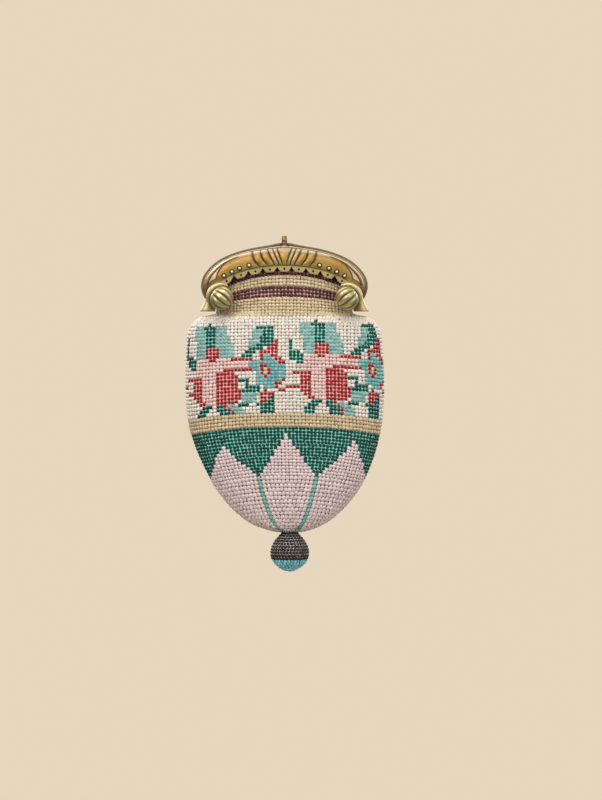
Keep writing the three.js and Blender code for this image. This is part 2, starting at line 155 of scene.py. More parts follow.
def setMasks(piece, **masks):
    count = len(piece.data.vertices)
    for name, values in masks.items():
        layer = piece.data.attributes.get(name) or piece.data.attributes.new(name, "FLOAT", "POINT")
        layer.data.foreach_set("value", np.broadcast_to(values, count).astype(np.float32))


def cutAway(piece, cutter):
    cut = piece.modifiers.new("cut", "BOOLEAN")
    cut.operation = "DIFFERENCE"
    cut.solver = "EXACT"
    cut.object = cutter
    applyAll(piece)
    bpy.data.objects.remove(cutter)


def dress(piece, material, nodes, body="purse"):
    piece.data.materials.clear()
    piece.data.materials.append(material)
    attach(piece, body)
    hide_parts(*nodes)


def lerp(first, second, share):
    return first + (second - first) * share


def ease(low, high, value):
    share = np.clip((np.asarray(value, float) - low) / (high - low), 0, 1)
    return share * share * (3 - 2 * share)


# A smooth line through the rows of a table that never swings past them
def through(table, at):
    rows = np.asarray(table, float)
    at = np.clip(np.asarray(at, float), 0, len(rows) - 1)
    step = np.diff(rows, axis=0)
    before, after = step[:-1], step[1:]
    total = np.where(np.abs(before + after) < 1e-12, 1, before + after)
    inner = np.where(before * after > 0, 2 * before * after / total, 0)
    slope = np.concatenate([step[:1], inner, step[-1:]])
    low = np.minimum(at.astype(int), len(rows) - 2)
    share = (at - low)[..., None]
    even = 3 * share**2 - 2 * share**3
    lead = share - 2 * share**2 + share**3
    trail = share**3 - share**2
    return rows[low] + even * step[low] + lead * slope[low] + trail * slope[low + 1]


# Shader building

def paint(red, green, blue):
    return tuple(((c / 255 + 0.055) / 1.055) ** 2.4 for c in (red, green, blue)) + (1.0,)


def feed(tree, socket, value):
    if isinstance(value, bpy.types.NodeSocket):
        tree.links.new(value, socket)
    else:
        socket.default_value = value


def mixed(tree, share, first, second):
    node = tree.nodes.new("ShaderNodeMix")
    node.data_type = "RGBA"
    feed(tree, node.inputs[0], share)
    feed(tree, node.inputs[6], first)
    feed(tree, node.inputs[7], second)
    return node.outputs[2]


def sums(tree, operation, first, second=0.0, clamp=False):
    node = tree.nodes.new("ShaderNodeMath")
    node.operation = operation
    node.use_clamp = clamp
    feed(tree, node.inputs[0], first)
    feed(tree, node.inputs[1], second)
    return node.outputs[0]


def cloudy(tree, scale, detail=3.0):
    where = tree.nodes.new("ShaderNodeTexCoord")
    node = tree.nodes.new("ShaderNodeTexNoise")
    node.inputs["Scale"].default_value = scale
    node.inputs["Detail"].default_value = detail
    tree.links.new(where.outputs["Object"], node.inputs["Vector"])
    return node.outputs[0]


def ranged(tree, value, fromLow, fromHigh, toLow, toHigh):
    node = tree.nodes.new("ShaderNodeMapRange")
    feed(tree, node.inputs["Value"], value)
    ends = {"From Min": fromLow, "From Max": fromHigh, "To Min": toLow, "To Max": toHigh}
    for label, number in ends.items():
        node.inputs[label].default_value = number
    return node.outputs[0]


def attribute(tree, name, output):
    node = tree.nodes.new("ShaderNodeAttribute")
    node.attribute_name = name
    return node.outputs[output]


def newGroup(name, inputs, outputs):
    group = bpy.data.node_groups.new(name, "ShaderNodeTree")
    for label, kind, value in inputs:
        group.interface.new_socket(label, in_out="INPUT", socket_type=kind).default_value = value
    for label, kind in outputs:
        group.interface.new_socket(label, in_out="OUTPUT", socket_type=kind)
    return group, group.nodes.new("NodeGroupInput").outputs, group.nodes.new("NodeGroupOutput").inputs


def newMaterial(name, **fixed):
    material = bpy.data.materials.new(name)
    material.use_nodes = True
    tree = material.node_tree
    shader = tree.nodes["Principled BSDF"]
    for label, value in fixed.items():
        shader.inputs[label.replace("_", " ")].default_value = value
    return material, tree, shader


def placeGroup(tree, group, **values):
    node = tree.nodes.new("ShaderNodeGroup")
    node.node_tree = group
    for label, value in values.items():
        feed(tree, node.inputs[label], value)
    return node.outputs


def bumped(tree, shader, height, strength, distance):
    bump = tree.nodes.new("ShaderNodeBump")
    bump.inputs["Strength"].default_value = strength
    bump.inputs["Distance"].default_value = distance
    tree.links.new(height, bump.inputs["Height"])
    tree.links.new(bump.outputs["Normal"], shader.inputs["Normal"])


color = "NodeSocketColor"
value = "NodeSocketFloat"

# Aged gilding: gold, olive towards the lower edge, dark in the engraved lines, with random stains; the groove
# mask also carries painted shade, and the pale mix is partly a paler colour and partly painted highlight
giltAge, given, out = newGroup(
    "giltAge",
    [("gold", color, (1, 1, 1, 1)), ("olive", color, (1, 1, 1, 1)), ("pale", color, (1, 1, 1, 1)),
     ("dirt", color, (0, 0, 0, 1)), ("tone", value, 0.0), ("polish", value, 0.0), ("groove", value, 0.0),
     ("gloss", value, 0.25)],
    [("color", color), ("roughness", value), ("height", value)])
tree = giltAge
blotch = cloudy(tree, 140, 4)
speck = cloudy(tree, 900, 2)
toned = sums(tree, "ADD", given["tone"], ranged(tree, blotch, 0.3, 0.7, -0.28, 0.28), clamp=True)
gilding = mixed(tree, toned, given["gold"], given["olive"])
bright = sums(tree, "MULTIPLY", given["polish"], ranged(tree, speck, 0.2, 0.8, 0.75, 1))
gilding = mixed(tree, bright, gilding, given["pale"])
stains = ranged(tree, blotch, 0.56, 0.74, 0, 0.3)
grime = sums(tree, "MULTIPLY", stains, ranged(tree, speck, 0.4, 0.6, 0.3, 1))
dirty = sums(tree, "MAXIMUM", given["groove"], grime)
tree.links.new(mixed(tree, dirty, gilding, given["dirt"]), out["color"])
rough = sums(tree, "ADD", given["gloss"], ranged(tree, blotch, 0.3, 0.75, 0, 0.16))
tree.links.new(sums(tree, "ADD", rough, sums(tree, "MULTIPLY", dirty, 0.25)), out["roughness"])
tree.links.new(sums(tree, "ADD", speck, sums(tree, "MULTIPLY", blotch, 2.0)), out["height"])

# Glass bead: each bead has its own tone, with a faint swirl through it
glassTone, given, out = newGroup(
    "glassTone",
    [("deep", color, (0, 0, 0, 1)), ("light", color, (1, 1, 1, 1)),
     ("tone", value, 0.5), ("gloss", value, 0.2)],
    [("color", color), ("roughness", value)])
tree = glassTone
swirl = ranged(tree, cloudy(tree, 1400, 2), 0.3, 0.7, -0.18, 0.18)
share = sums(tree, "ADD", given["tone"], swirl, clamp=True)
tree.links.new(mixed(tree, share, given["deep"], given["light"]), out["color"])
tree.links.new(sums(tree, "ADD", given["gloss"], sums(tree, "MULTIPLY", swirl, 0.3)), out["roughness"])

# Knitting thread: twisted fibres with painted shade between them, a little uneven in colour
threadTwist, given, out = newGroup(
    "threadTwist",
    [("thread", color, (0.5, 0.5, 0.5, 1)), ("shadow", color, (0.1, 0.1, 0.1, 1))],
    [("color", color), ("height", value)])
tree = threadTwist
fibre = cloudy(tree, 2600, 2)
fade = cloudy(tree, 90, 3)
fibreShade = mixed(tree, ranged(tree, fibre, 0.35, 0.65, 0.45, 0), given["thread"], given["shadow"])
tree.links.new(mixed(tree, ranged(tree, fade, 0.4, 0.8, 0, 0.3), fibreShade, given["shadow"]), out["color"])
tree.links.new(fibre, out["height"])


def giltMaterial(name, gold, olive, gloss):
    material, tree, shader = newMaterial(name, Metallic=0.9, Coat_Weight=0.2, Coat_Roughness=0.15)
    aged = placeGroup(
        tree, giltAge, gold=gold, olive=olive, pale=paint(240, 232, 216), dirt=paint(62, 48, 26),
        tone=attribute(tree, "tone", "Fac"), polish=attribute(tree, "polish", "Fac"),
        groove=attribute(tree, "groove", "Fac"), gloss=gloss)
    tree.links.new(aged["color"], shader.inputs["Base Color"])
    tree.links.new(aged["roughness"], shader.inputs["Roughness"])
    bumped(tree, shader, aged["height"], 0.12, 0.0003)
    return material


def beadMaterial(name, deep, light, gloss=0.32):
    material, tree, shader = newMaterial(
        name, Specular_IOR_Level=0.22, Coat_Weight=0.06, Coat_Roughness=0.12)
    tone = attribute(tree, "tone", "Fac")
    glass = placeGroup(tree, glassTone, deep=deep, light=light, tone=tone, gloss=gloss)
    tree.links.new(glass["color"], shader.inputs["Base Color"])
    tree.links.new(glass["roughness"], shader.inputs["Roughness"])
    return material


def threadMaterial(name):
    material, tree, shader = newMaterial(name, Roughness=0.85, Sheen_Weight=0.2)
    thread = placeGroup(
        tree, threadTwist, thread=attribute(tree, "thread", "Color"),
        shadow=attribute(tree, "shadow", "Color"))
    tree.links.new(thread["color"], shader.inputs["Base Color"])
    bumped(tree, shader, thread["height"], 0.5, 0.0002)
    return material


giltFinish = giltMaterial("agedGilding", paint(149, 113, 51), paint(186, 165, 96), 0.49)
knobFinish = giltMaterial("knobGilding", paint(192, 170, 108), paint(158, 148, 90), 0.4)
postFinish = giltMaterial("postBrass", paint(142, 113, 69), paint(116, 90, 52), 0.44)
threadFinish = threadMaterial("knittingThread")

# Bead colours: deep and light tone of the glass, the thread colour that shows round it (dark round light
# beads as painted shade in the gaps, light round dark beads as partly painted light), how full the bead sits
# in its stitch along and across the row, how much lower it sits than the others
beadColours = {
    "white": ((198, 189, 178), (220, 212, 201), (112, 90, 78), 1.19, 1.21, 0),
    "cream": ((179, 160, 126), (201, 182, 148), (108, 84, 58), 1.18, 1.2, 0),
    "pink": ((199, 180, 181), (220, 202, 202), (104, 74, 80), 1.18, 1.2, 0),
    "rose": ((201, 166, 161), (223, 193, 186), (130, 90, 86), 1.18, 1.2, 0),
    "teal": ((94, 146, 142), (146, 185, 179), (176, 198, 190), 1.05, 1.07, 0.1),
    "stem": ((88, 149, 140), (132, 184, 173), (96, 120, 114), 1.06, 1.12, 0),
    "blue": ((72, 146, 146), (138, 188, 184), (130, 150, 146), 1.06, 1.08, 0.1),
    "green": ((0, 39, 34), (0, 78, 66), (136, 220, 204), 1.08, 1.08, 0.19),
    "red": ((118, 0, 12), (168, 16, 28), (236, 180, 172), 1.03, 1.05, 0.17),
    "maroon": ((58, 25, 29), (94, 47, 47), (206, 170, 154), 1.1, 1.12, 0.14),
    "black": ((20, 17, 17), (48, 41, 39), (176, 168, 162), 1.01, 1.02, 0),
    "turquoise": ((74, 150, 168), (140, 208, 220), (44, 96, 100), 1.08, 1.1, 0),
}
beadKinds = {}
for kind, (deep, light, thread, along, across, lower) in beadColours.items():
    beadKinds[kind] = {"material": beadMaterial(kind + "Glass", paint(*deep), paint(*light)),
                       "thread": paint(*thread), "fill": (along, across), "lower": lower}
print("materials ready")

# Gilt frame: each half is a pressed plate with a lobed sewing flange, bosses, collars, feet and knuckles
frameSizes = {
    "seam": 0.03, "wall": 0.8, "depth": 7.12, "fullWidth": 9.2, "taper": 0.6,
    "rimCentre": -19.6, "rims": {"front": (39.4, 18.5), "back": (40.5, 19.6)}, "endAngle": -20.0,
    "ridgeCentre": -25.9, "ridge": (35.8, 15.7),
    "fanSteps": 12, "sideSteps": 96, "acrossSteps": 4,
    # lines of the fan: at the rim, at the ridge, height of the flute inside it, bow of the line
    "fan": [(0.0, 0.0, 0.5, 1.0), (3.9, 0.7, 0.5, 1.0), (6.0, 2.5, 0.3, 1.0), (8.5, 4.6, 0.3, 1.1),
            (11.6, 7.8, 0.6, 2.5), (15.4, 11.5, 0.5, 3.2)],
    "line": {"width": 0.34, "depth": 0.25}, "sideReach": 25,
    "hump": {"front": 0.6, "back": 1.2}, "humpWidth": 6,
    # sunk side panel: share of the way from the fan to the end, upper and lower border across the plate
    "panel": [(0.12, 0.19, 0.21), (0.22, 0.205, 0.235), (0.36, 0.26, 0.335), (0.48, 0.29, 0.46),
              (0.58, 0.32, 0.66), (0.75, 0.37, 0.395)],
    "panelSink": 0.5, "panelLine": 0.3, "panelRows": (0.12, 0.28, 0.58, 0.95), "panelFree": 0.9,
    # across the plate: share of the width, share of the depth, share of the flutes
    "profile": [(0.0, 0.0, 0), (0.0, 0.1, 0), (0.02, 0.15, 0), (0.045, 0.155, 0), (0.06, 0.145, 0),
                (0.08, 0.27, 0.1), (0.12, 0.46, 0.35), (0.18, 0.62, 1), (0.28, 0.77, 1), (0.42, 0.89, 1),
                (0.58, 0.965, 1), (0.72, 1.0, 1), (0.86, 0.995, 0.8), (0.95, 0.965, 0.4), (1.0, 0.92, 0)],
    "postInner": 1.75, "postOuter": 2.2, "postEase": 0.35,
    "backing": {"from": -15.0, "top": 0.3, "bottom": 2.6, "behind": 0.15, "wall": 0.4, "steps": 240,
                "masks": {"groove": 0.6, "tone": 0.4}},
    # how much darker the crease inside the lip and the plate's lower edge are, painted shade on the back
    # rim's edge, and the strength of the painted highlights
    "dirt": {"lip": 0.6, "lower": 0.7, "back": 0.6},
    "shine": {"panel": 0.34, "streak": 0.46, "ribbon": 0.13, "rim": 0.35}, "profileSteps": 1401,
}


# Places on the plate from the share along the half (0 left end to 1 right end) and the step of the profile
def platePlaces(half, along, step):
    size = frameSizes
    rim = size["rims"][half]
    fan = np.array(size["fan"])
    lines = len(fan) - 1
    steps = lines * size["fanSteps"]
    reach = np.abs(2 * along - 1) * (steps + size["sideSteps"])
    side = np.sign(along - 0.5)
    fanPlace = np.minimum(reach / size["fanSteps"], lines)
    past = np.clip((reach - steps) / size["sideSteps"], 0, 1)  # 0 beside the fan, 1 at the end
    rimAngle = np.arccos(np.interp(fanPlace, range(lines + 1), fan[:, 0]) / rim[0])
    ridgeAngle = np.arccos(np.interp(fanPlace, range(lines + 1), fan[:, 1]) / size["ridge"][0])
    rimAngle = lerp(rimAngle, math.radians(size["endAngle"]), past)
    ridgeAngle = lerp(ridgeAngle, 0, past)
    # rows slide along the profile, so that two of them follow the borders of the side panel
    panel = np.array(size["panel"])
    first, upperRow, lowerRow, last = size["panelRows"]
    top, low = (np.interp(past, [0, *panel[:, 0], size["panelFree"]], [row, *border, row])
                for row, border in zip((upperRow, lowerRow), panel.T[1:]))
    across = through(size["profile"], step)[:, 0]
    slid = np.select([across < upperRow, across < lowerRow],
                     [lerp(first, top, (across - first) / (upperRow - first)),
                      lerp(top, low, (across - upperRow) / (lowerRow - upperRow))],
                     lerp(low, last, (across - lowerRow) / (last - lowerRow)))
    fine = np.linspace(0, len(size["profile"]) - 1, size["profileSteps"])
    moves = (past > 0) & (across > first) & (across < last)
    step = np.where(moves, np.interp(slid, through(size["profile"], fine)[:, 0], fine), step)
    across, deep, fluted = through(size["profile"], step).T
    bow = lerp(np.interp(fanPlace, range(lines + 1), fan[:, 3]), 1, ease(0, 0.5, past))
    rimX = rim[0] * np.cos(rimAngle)
    rimZ = size["rimCentre"] + rim[1] * np.sin(rimAngle)
    ridgeX = size["ridge"][0] * np.cos(ridgeAngle)
    ridgeZ = size["ridgeCentre"] + size["ridge"][1] * np.sin(ridgeAngle)
    width = np.hypot(ridgeX - rimX, ridgeZ - rimZ)
    x = lerp(rimX, ridgeX, across**bow)
    hump = size["hump"][half] * np.exp(-((rimX / size["humpWidth"]) ** 2))
    z = lerp(rimZ, ridgeZ, across) + hump * (1 - across) ** 9
    depth = deep * size["depth"] * np.minimum(1, (width / size["fullWidth"]) ** size["taper"])
    # flutes swell between the lines, and the lines themselves are engraved
    inFan = past <= 0
    band = np.minimum(np.ceil(np.maximum(fanPlace, 1e-9)).astype(int), lines)
    within = fanPlace - (band - 1)
    swell = np.where(band == 1, np.cos(np.pi * within / 2), np.sin(np.pi * within)).clip(0) ** 0.8
    swell = np.where(inFan, swell * fan[band, 2], 0)
    nearest = np.clip(np.round(fanPlace), 1, lines)
    spacing = np.interp(fanPlace, range(lines + 1), np.gradient(lerp(fan[:, 0], fan[:, 1], 0.5)))
    stray = np.where(inFan, np.abs(fanPlace - nearest) * spacing, past * size["sideReach"])
    engraved = np.exp(-((stray / size["line"]["width"]) ** 2))
    engraved = engraved * ease(0.05, 0.08, across) * ease(1.0, 0.95, across)
    # sunk side panel, a long leaf that widens towards the end
    start, end = panel[0, 0], panel[-1, 0]
    inside = ease(start - 0.02, start + 0.04, past) * ease(end + 0.01, end, past)
    sunk = ease(top - 0.02, top + 0.04, across) * ease(low + 0.02, low - 0.04, across) * inside
    strays = [(across - border) * width / size["panelLine"] for border in (top, low)]
    outline = np.maximum(*(np.exp(-(apart**2)) for apart in strays)) * inside
    depth = depth + swell * fluted - size["line"]["depth"] * engraved - size["panelSink"] * sunk
    y = halves[half] * (size["seam"] + depth)
    lip = ease(0.045, 0.06, across) * ease(0.09, 0.07, across)
    streak = ease(0.06, 0.08, across) * ease(lerp(0.33, 0.22, past), lerp(0.18, 0.13, past), across)
    ribbon = (inFan & (band > 1) & (band < 4)) * ease(0.08, 0.2, across) * ease(1, 0.7, across)
    # painted shade darkens the back rim's edge; painted highlights brighten the sunk panel, a streak along
    # the upper slope, two flutes of the fan and the rim's edge
    dirt, shine = size["dirt"], size["shine"]
    dark = [engraved, dirt["lip"] * lip, outline, dirt["lower"] * ease(0.95, 1, across),
            dirt["back"] * ease(0.08, 0.04, across) * (half == "back")]
    bright = [shine["panel"] * sunk, shine["streak"] * streak * ease(0.7, 0.2, past),
              shine["ribbon"] * ribbon, shine["rim"] * ease(0.06, 0.03, across)]
    masks = {
        "groove": np.clip(np.maximum.reduce(dark), 0, 1),
        "polish": np.clip(np.maximum.reduce(bright), 0, 1),
        "tone": np.clip(ease(0.55, 0.98, across) + 0.4 * ease(0.16, 0.02, across), 0, 1),
    }
    return columns(side * x, y, z) * mm, masks


# Points beside the catch post are pushed clear of it
def clearPost(piece, half, clear):
    at = pointsOf(piece) / mm
    swell = np.sqrt(np.clip(clear**2 - at[:, 0] ** 2, 0, None))
    pushed = swell + frameSizes["postEase"] * np.abs(at[:, 1])
    at[:, 1] = np.where((swell > 0) & (pushed > np.abs(at[:, 1])), halves[half] * pushed, at[:, 1])
    movePoints(piece, at * mm)


def pressedPlate(half):
    size = frameSizes
    stations = 2 * ((len(size["fan"]) - 1) * size["fanSteps"] + size["sideSteps"])
    rows = len(size["profile"]) - 1
    plate, along, down = flatGrid("plate_" + half, stations, size["acrossSteps"] * rows)
    places, masks = platePlaces(half, along, down * rows)
    movePoints(plate, places)
    setMasks(plate, **masks)
    faceAlongY(plate, halves[half])
    thicken(plate, size["wall"])
    # the rim swells round the catch post, so the post slides free of it
    outer = np.arange(len(plate.data.vertices)) < len(plate.data.vertices) // 2
    clearPost(plate, half, np.where(outer, size["postOuter"], size["postInner"]))
    softEdges(plate, 50)
    return plate


# Strip inside the back rim, which stands higher than the front one and would show the hollow below it; it is
# darkened all over as painted shade of the seam
def rimBacking():
    size = frameSizes
    backing = size["backing"]
    rim = size["rims"]["back"]
    strip, along, down = flatGrid("rim_backing", backing["steps"], 3)
    angle = np.radians(lerp(180 - backing["from"], backing["from"], along))
    inwards = lerp(backing["top"], backing["bottom"], down)
    x = (rim[0] - inwards) * np.cos(angle)
    hump = size["hump"]["back"] * np.exp(-((x / size["humpWidth"]) ** 2))
    z = size["rimCentre"] + (rim[1] - inwards) * np.sin(angle) + hump
    movePoints(strip, columns(x, backing["behind"], z) * mm)
    faceAlongY(strip, -1)
    thicken(strip, backing["wall"])
    clearPost(strip, "back", size["postInner"])
    softEdges(strip, 40)
    # the groove mask over the whole strip is painted shade
    setMasks(strip, **backing["masks"])
    return strip


# Sewing flange: lobes between notches, with a hole in each
flangeSizes = {"lobes": 9, "steps": 14, "halfSpan": 31.6, "drop": 3.1, "notch": 0.28, "notchWidth": 0.24,
               "tuck": 0.8, "depth": 6.17, "wall": 0.9, "round": 0.16, "hole": 0.55, "holeUp": 1.35,
               "drill": 4, "masks": {"tone": 0.9, "polish": 0.14}, "dirt": 0.8}


def flangeLine(along):
    ridge = frameSizes["ridge"]
    x = lerp(-flangeSizes["halfSpan"], flangeSizes["halfSpan"], along)
    return x, frameSizes["ridgeCentre"] + ridge[1] * np.sqrt(1 - (x / ridge[0]) ** 2)


def sewingFlange(half):
    size = flangeSizes
    flange, along, down = flatGrid("flange_" + half, size["lobes"] * size["steps"], 5)
    x, lineZ = flangeLine(along)
    apart = np.abs((size["lobes"] * along + 0.5) % 1 - 0.5)  # from the nearest notch, in lobes
    lobe = np.clip(apart / size["notchWidth"], 0, 1) ** 0.85 - 0.12 * ease(0.2, 0.5, 0.5 - apart)
    z = lerp(lineZ + size["tuck"], lineZ - size["drop"] * lerp(size["notch"], 1, lobe), down)
    front = halves[half] * size["depth"]
    movePoints(flange, columns(x, front, z) * mm)
    faceAlongY(flange, halves[half])
    thicken(flange, size["wall"])
    holes = []
    for lobe in range(size["lobes"]):
        x, lineZ = flangeLine((lobe + 0.5) / size["lobes"])
        bpy.ops.mesh.primitive_cylinder_add(
            vertices=20, radius=size["hole"] * mm, depth=size["drill"] * mm, rotation=(math.pi / 2, 0, 0),
            location=(x * mm, front * mm, (lineZ - size["drop"] + size["holeUp"]) * mm))
        holes.append(newest("sewing_hole"))
    cutAway(flange, joined("sewing_holes", holes))
    roundEdges(flange, size["round"], 2, 50)
    softEdges(flange, 40)
    # the flange is darker along its top, where it tucks under the plate
    at = pointsOf(flange) / mm
    high = ease(-0.4, 0.7, at[:, 2] - np.interp(at[:, 0], *flangeLine(np.linspace(0, 1, 60))))
    setMasks(flange, **size["masks"], groove=size["dirt"] * high)
    return flange


# Round boss with a painted highlight on its top and painted shade round its sides and base ring: a dome on a
# narrow base ring, modelled once and copied along the plate
bossSizes = {"radius": 0.95, "ring": 1.32, "lift": 0.3, "cut": -0.25, "skirt": -0.6,
             "searchSteps": (500, 60), "searchRows": (8, 14),
             "places": [(17.2, -10.3), (21.7, -11.8), (25.5, -13.4), (29.3, -15.4)]}


def roundBoss():
    size = bossSizes
    bpy.ops.mesh.primitive_uv_sphere_add(segments=20, ring_count=12, radius=size["radius"] * mm)
    boss = newest("boss")
    editAll(boss)
    bpy.ops.mesh.bisect(plane_co=(0, 0, size["cut"] * mm), plane_no=(0, 0, 1), clear_inner=True)
    bpy.ops.mesh.extrude_edges_move()
    spread = size["ring"] / size["radius"]
    bpy.ops.transform.resize(value=(spread, spread, 1))
    bpy.ops.mesh.extrude_edges_move(TRANSFORM_OT_translate={"value": (0, 0, size["skirt"] * mm)})
    bpy.ops.object.mode_set(mode="OBJECT")
    softEdges(boss, 50)
    # painted highlight on the top of the dome, painted shade round its lower sides and the base ring
    high = pointsOf(boss)[:, 2] / mm
    setMasks(boss, polish=0.9 * ease(0.55, 0.92, high), groove=ease(0.45, 0.0, high))
    return boss


# Where a boss sits: square to the plate, at the spot nearest to its place seen from the front
def bossPlace(half, place, side):
    stations, rows = bossSizes["searchSteps"]
    along, step = np.meshgrid(np.linspace(0.5, 1, stations), np.linspace(*bossSizes["searchRows"], rows))
    spots = platePlaces(half, along.ravel(), step.ravel())[0].reshape(*along.shape, 3)
    apart = np.hypot(spots[..., 0] / mm - place[0], spots[..., 2] / mm - place[1])[2:-2, 2:-2]
    row, column = (spot + 2 for spot in np.unravel_index(np.argmin(apart), apart.shape))
    onwards = spots[row, column + 2] - spots[row, column - 2]
    across = spots[row + 2, column] - spots[row - 2, column]
    facing = Vector(np.cross(onwards, across) * [side, 1, 1]).normalized()
    if facing.y * halves[half] < 0:
        facing = -facing
    spot = Vector(spots[row, column] * [side, 1, 1]) + facing * bossSizes["lift"] * mm
    return Matrix.Translation(spot) @ Vector((0, 0, 1)).rotation_difference(facing).to_matrix().to_4x4()


# Tapering crescent that holds a knob, and the knob itself
knobSizes = {"x": 30.4, "y": 8.6, "z": -26.3, "along": 5.4, "across": 6.1, "tilt": 38.0, "ribs": 10,
             "groove": 0.13, "segments": 100, "rings": 30, "gap": 0.2}
collarSizes = {"radius": 6.7, "y": 6.6, "from": 64.0, "to": 200.0, "steps": 30, "thick": 1.3, "thin": 0.35,
               "stretch": 1.5, "masks": {"tone": 0.8, "polish": 0.35}}


def knobPlace(half, side):
    size = knobSizes
    centre = Vector((side * size["x"], halves[half] * size["y"], size["z"])) * mm
    return Matrix.Translation(centre) @ Matrix.Rotation(-side * math.radians(size["tilt"]), 4, "Y")


def knobSeat(half, side):
    size = knobSizes
    bpy.ops.mesh.primitive_uv_sphere_add(segments=48, ring_count=24, radius=1)
    seat = newest("knob_seat")
    radii = [(size[name] + size["gap"]) * mm for name in ("along", "across", "across")]
    seat.data.transform(knobPlace(half, side) @ Matrix.Diagonal((*radii, 1)))
    return seat


def scrollCollar(half, side):
    size = collarSizes
    share = np.linspace(0, 1, size["steps"] + 1)
    turn = np.radians(lerp(size["from"], size["to"], share))
    swell = lerp(size["thin"], 1, np.sin(np.pi * share) ** 0.7)
    bpy.ops.curve.primitive_nurbs_path_add()
    line = newest("collar_line")
    line.data.splines.clear()
    path = line.data.splines.new("POLY")
    path.points.add(size["steps"])
    for point, angle, thick in zip(path.points, turn, swell):
        point.co = (-size["radius"] * math.cos(angle) * mm, 0, size["radius"] * math.sin(angle) * mm, 1)
        point.radius = thick
    line.data.dimensions = "3D"
    line.data.bevel_depth = size["thick"] * mm
    line.data.bevel_resolution = 5
    line.data.use_fill_caps = True
    pick(line)
    bpy.ops.object.convert(target="MESH")
    collar = newest("collar_" + half)
    place = Vector((side * knobSizes["x"], halves[half] * size["y"], knobSizes["z"])) * mm
    collar.data.transform(Matrix.Translation(place) @ Matrix.Diagonal((side, size["stretch"], 1, 1)))
    closeUp(collar)
    cutAway(collar, knobSeat(half, side))
    softEdges(collar, 45)
    setMasks(collar, **size["masks"])
    return collar


def ribbedKnob(name):
    size = knobSizes
    bpy.ops.mesh.primitive_uv_sphere_add(segments=size["segments"], ring_count=size["rings"], radius=1)
    knob = newest(name)
    at = pointsOf(knob)
    turn = np.arctan2(at[:, 1], at[:, 0])
    radius = np.hypot(at[:, 0], at[:, 1])
    valley = (1 - np.abs(np.sin(size["ribs"] * turn / 2))) ** 1.4
    ribbed = 1 - size["groove"] * valley * ease(0.02, 0.35, radius)
    wide = size["across"] * ribbed
    movePoints(knob, columns(size["along"] * at[:, 2], wide * at[:, 1], wide * at[:, 0]) * mm)
    closeUp(knob)
    softEdges(knob, 60)
    # dark in the rib valleys and towards both ends of the knob; the rib crests are paler, a painted highlight
    dark = 0.95 * valley**1.6 * ease(0.05, 0.4, radius) + 0.5 * ease(0.2, 0.05, radius)
    setMasks(knob, groove=np.clip(dark, 0, 1), tone=0.35 + 0.4 * (at[:, 0] < 0),
             polish=0.25 * ease(0.5, 0, valley))
    return knob


# Flared foot under each end, a half-round trumpet. Each row: height, inner and outer edge, depth
footSizes = {
    "seam": 0.05, "around": 28, "along": 18, "fullness": 0.8, "round": 0.25,
    "masks": {"tone": 0.85, "polish": 0.2}, "dirt": 0.5,
    "rows": [(-22.6, 36.7, 37.9, 0.6), (-24.2, 36.3, 38.1, 2.0), (-26.2, 36.1, 38.5, 2.7),
             (-28.2, 35.2, 39.2, 3.0), (-30.0, 34.4, 40.1, 3.2), (-31.4, 33.8, 40.9, 3.4),
             (-32.1, 33.6, 41.2, 3.45), (-32.4, 33.8, 41.0, 3.1)],
}


def flaredFoot(half, side):
    size = footSizes
    foot, around, down = flatGrid("foot_" + half, size["around"], size["along"])
    z, inner, outer, depth = through(size["rows"], down * (len(size["rows"]) - 1)).T
    turn = 2 * math.pi * around
    x = lerp(inner, outer, (1 - np.cos(turn)) / 2)
    y = size["seam"] + depth * np.clip(np.sin(turn), 0, 1) ** size["fullness"]
    movePoints(foot, columns(side * x, halves[half] * y, z) * mm)
    closeUp(foot)
    bpy.ops.object.mode_set(mode="EDIT")
    bpy.ops.mesh.fill_holes(sides=0)
    bpy.ops.object.mode_set(mode="OBJECT")
    closeUp(foot)
    roundEdges(foot, size["round"], 3, 45)
    softEdges(foot, 40)
    # painted shade near the seam, where the half-round foot turns away at its edges
    forward = np.abs(pointsOf(foot)[:, 1]) / mm - size["seam"]
    setMasks(foot, **size["masks"], groove=size["dirt"] * ease(1.0, 0.0, forward))
    return foot


# Hinge knuckles and pins along X between the feet
hingeSizes = {"z": -28.9, "knuckle": 1.7, "bore": 0.85, "pin": 0.7, "round": 0.2, "pinRound": 0.3,
              "masks": {"tone": 0.6, "groove": 0.25}, "pinDirt": 0.15,
              "spans": {"front": (35.5, 37.1), "back": (37.4, 38.9)}, "pinSpan": (35.5, 38.9)}


def barrelAlongX(name, radius, span, side, sidesCount):
    bpy.ops.mesh.primitive_cylinder_add(
        vertices=sidesCount, radius=radius * mm, depth=(span[1] - span[0]) * mm,
        rotation=(0, math.pi / 2, 0), location=(side * (span[0] + span[1]) / 2 * mm, 0, hingeSizes["z"] * mm))
    barrel = newest(name)
    freeze(barrel)
    return barrel


def hingeKnuckle(half, side):
    size = hingeSizes
    knuckle = barrelAlongX("knuckle_" + half, size["knuckle"], size["spans"][half], side, 28)
    bore = barrelAlongX("bore", size["bore"], (size["pinSpan"][0] - 1, size["pinSpan"][1] + 1), side, 24)
    cutAway(knuckle, bore)
    roundEdges(knuckle, size["round"], 2, 50)
    softEdges(knuckle, 40)
    setMasks(knuckle, **size["masks"])
    return knuckle


def hingePin(side):
    size = hingeSizes
    pin = barrelAlongX("pin", size["pin"], size["pinSpan"], side, 24)
    editAll(pin)
    bpy.ops.mesh.bevel(offset=size["pinRound"] * mm, segments=4, affect="EDGES")
    bpy.ops.object.mode_set(mode="OBJECT")
    closeUp(pin)
    softEdges(pin, 50)
    setMasks(pin, groove=size["pinDirt"])
    return pin


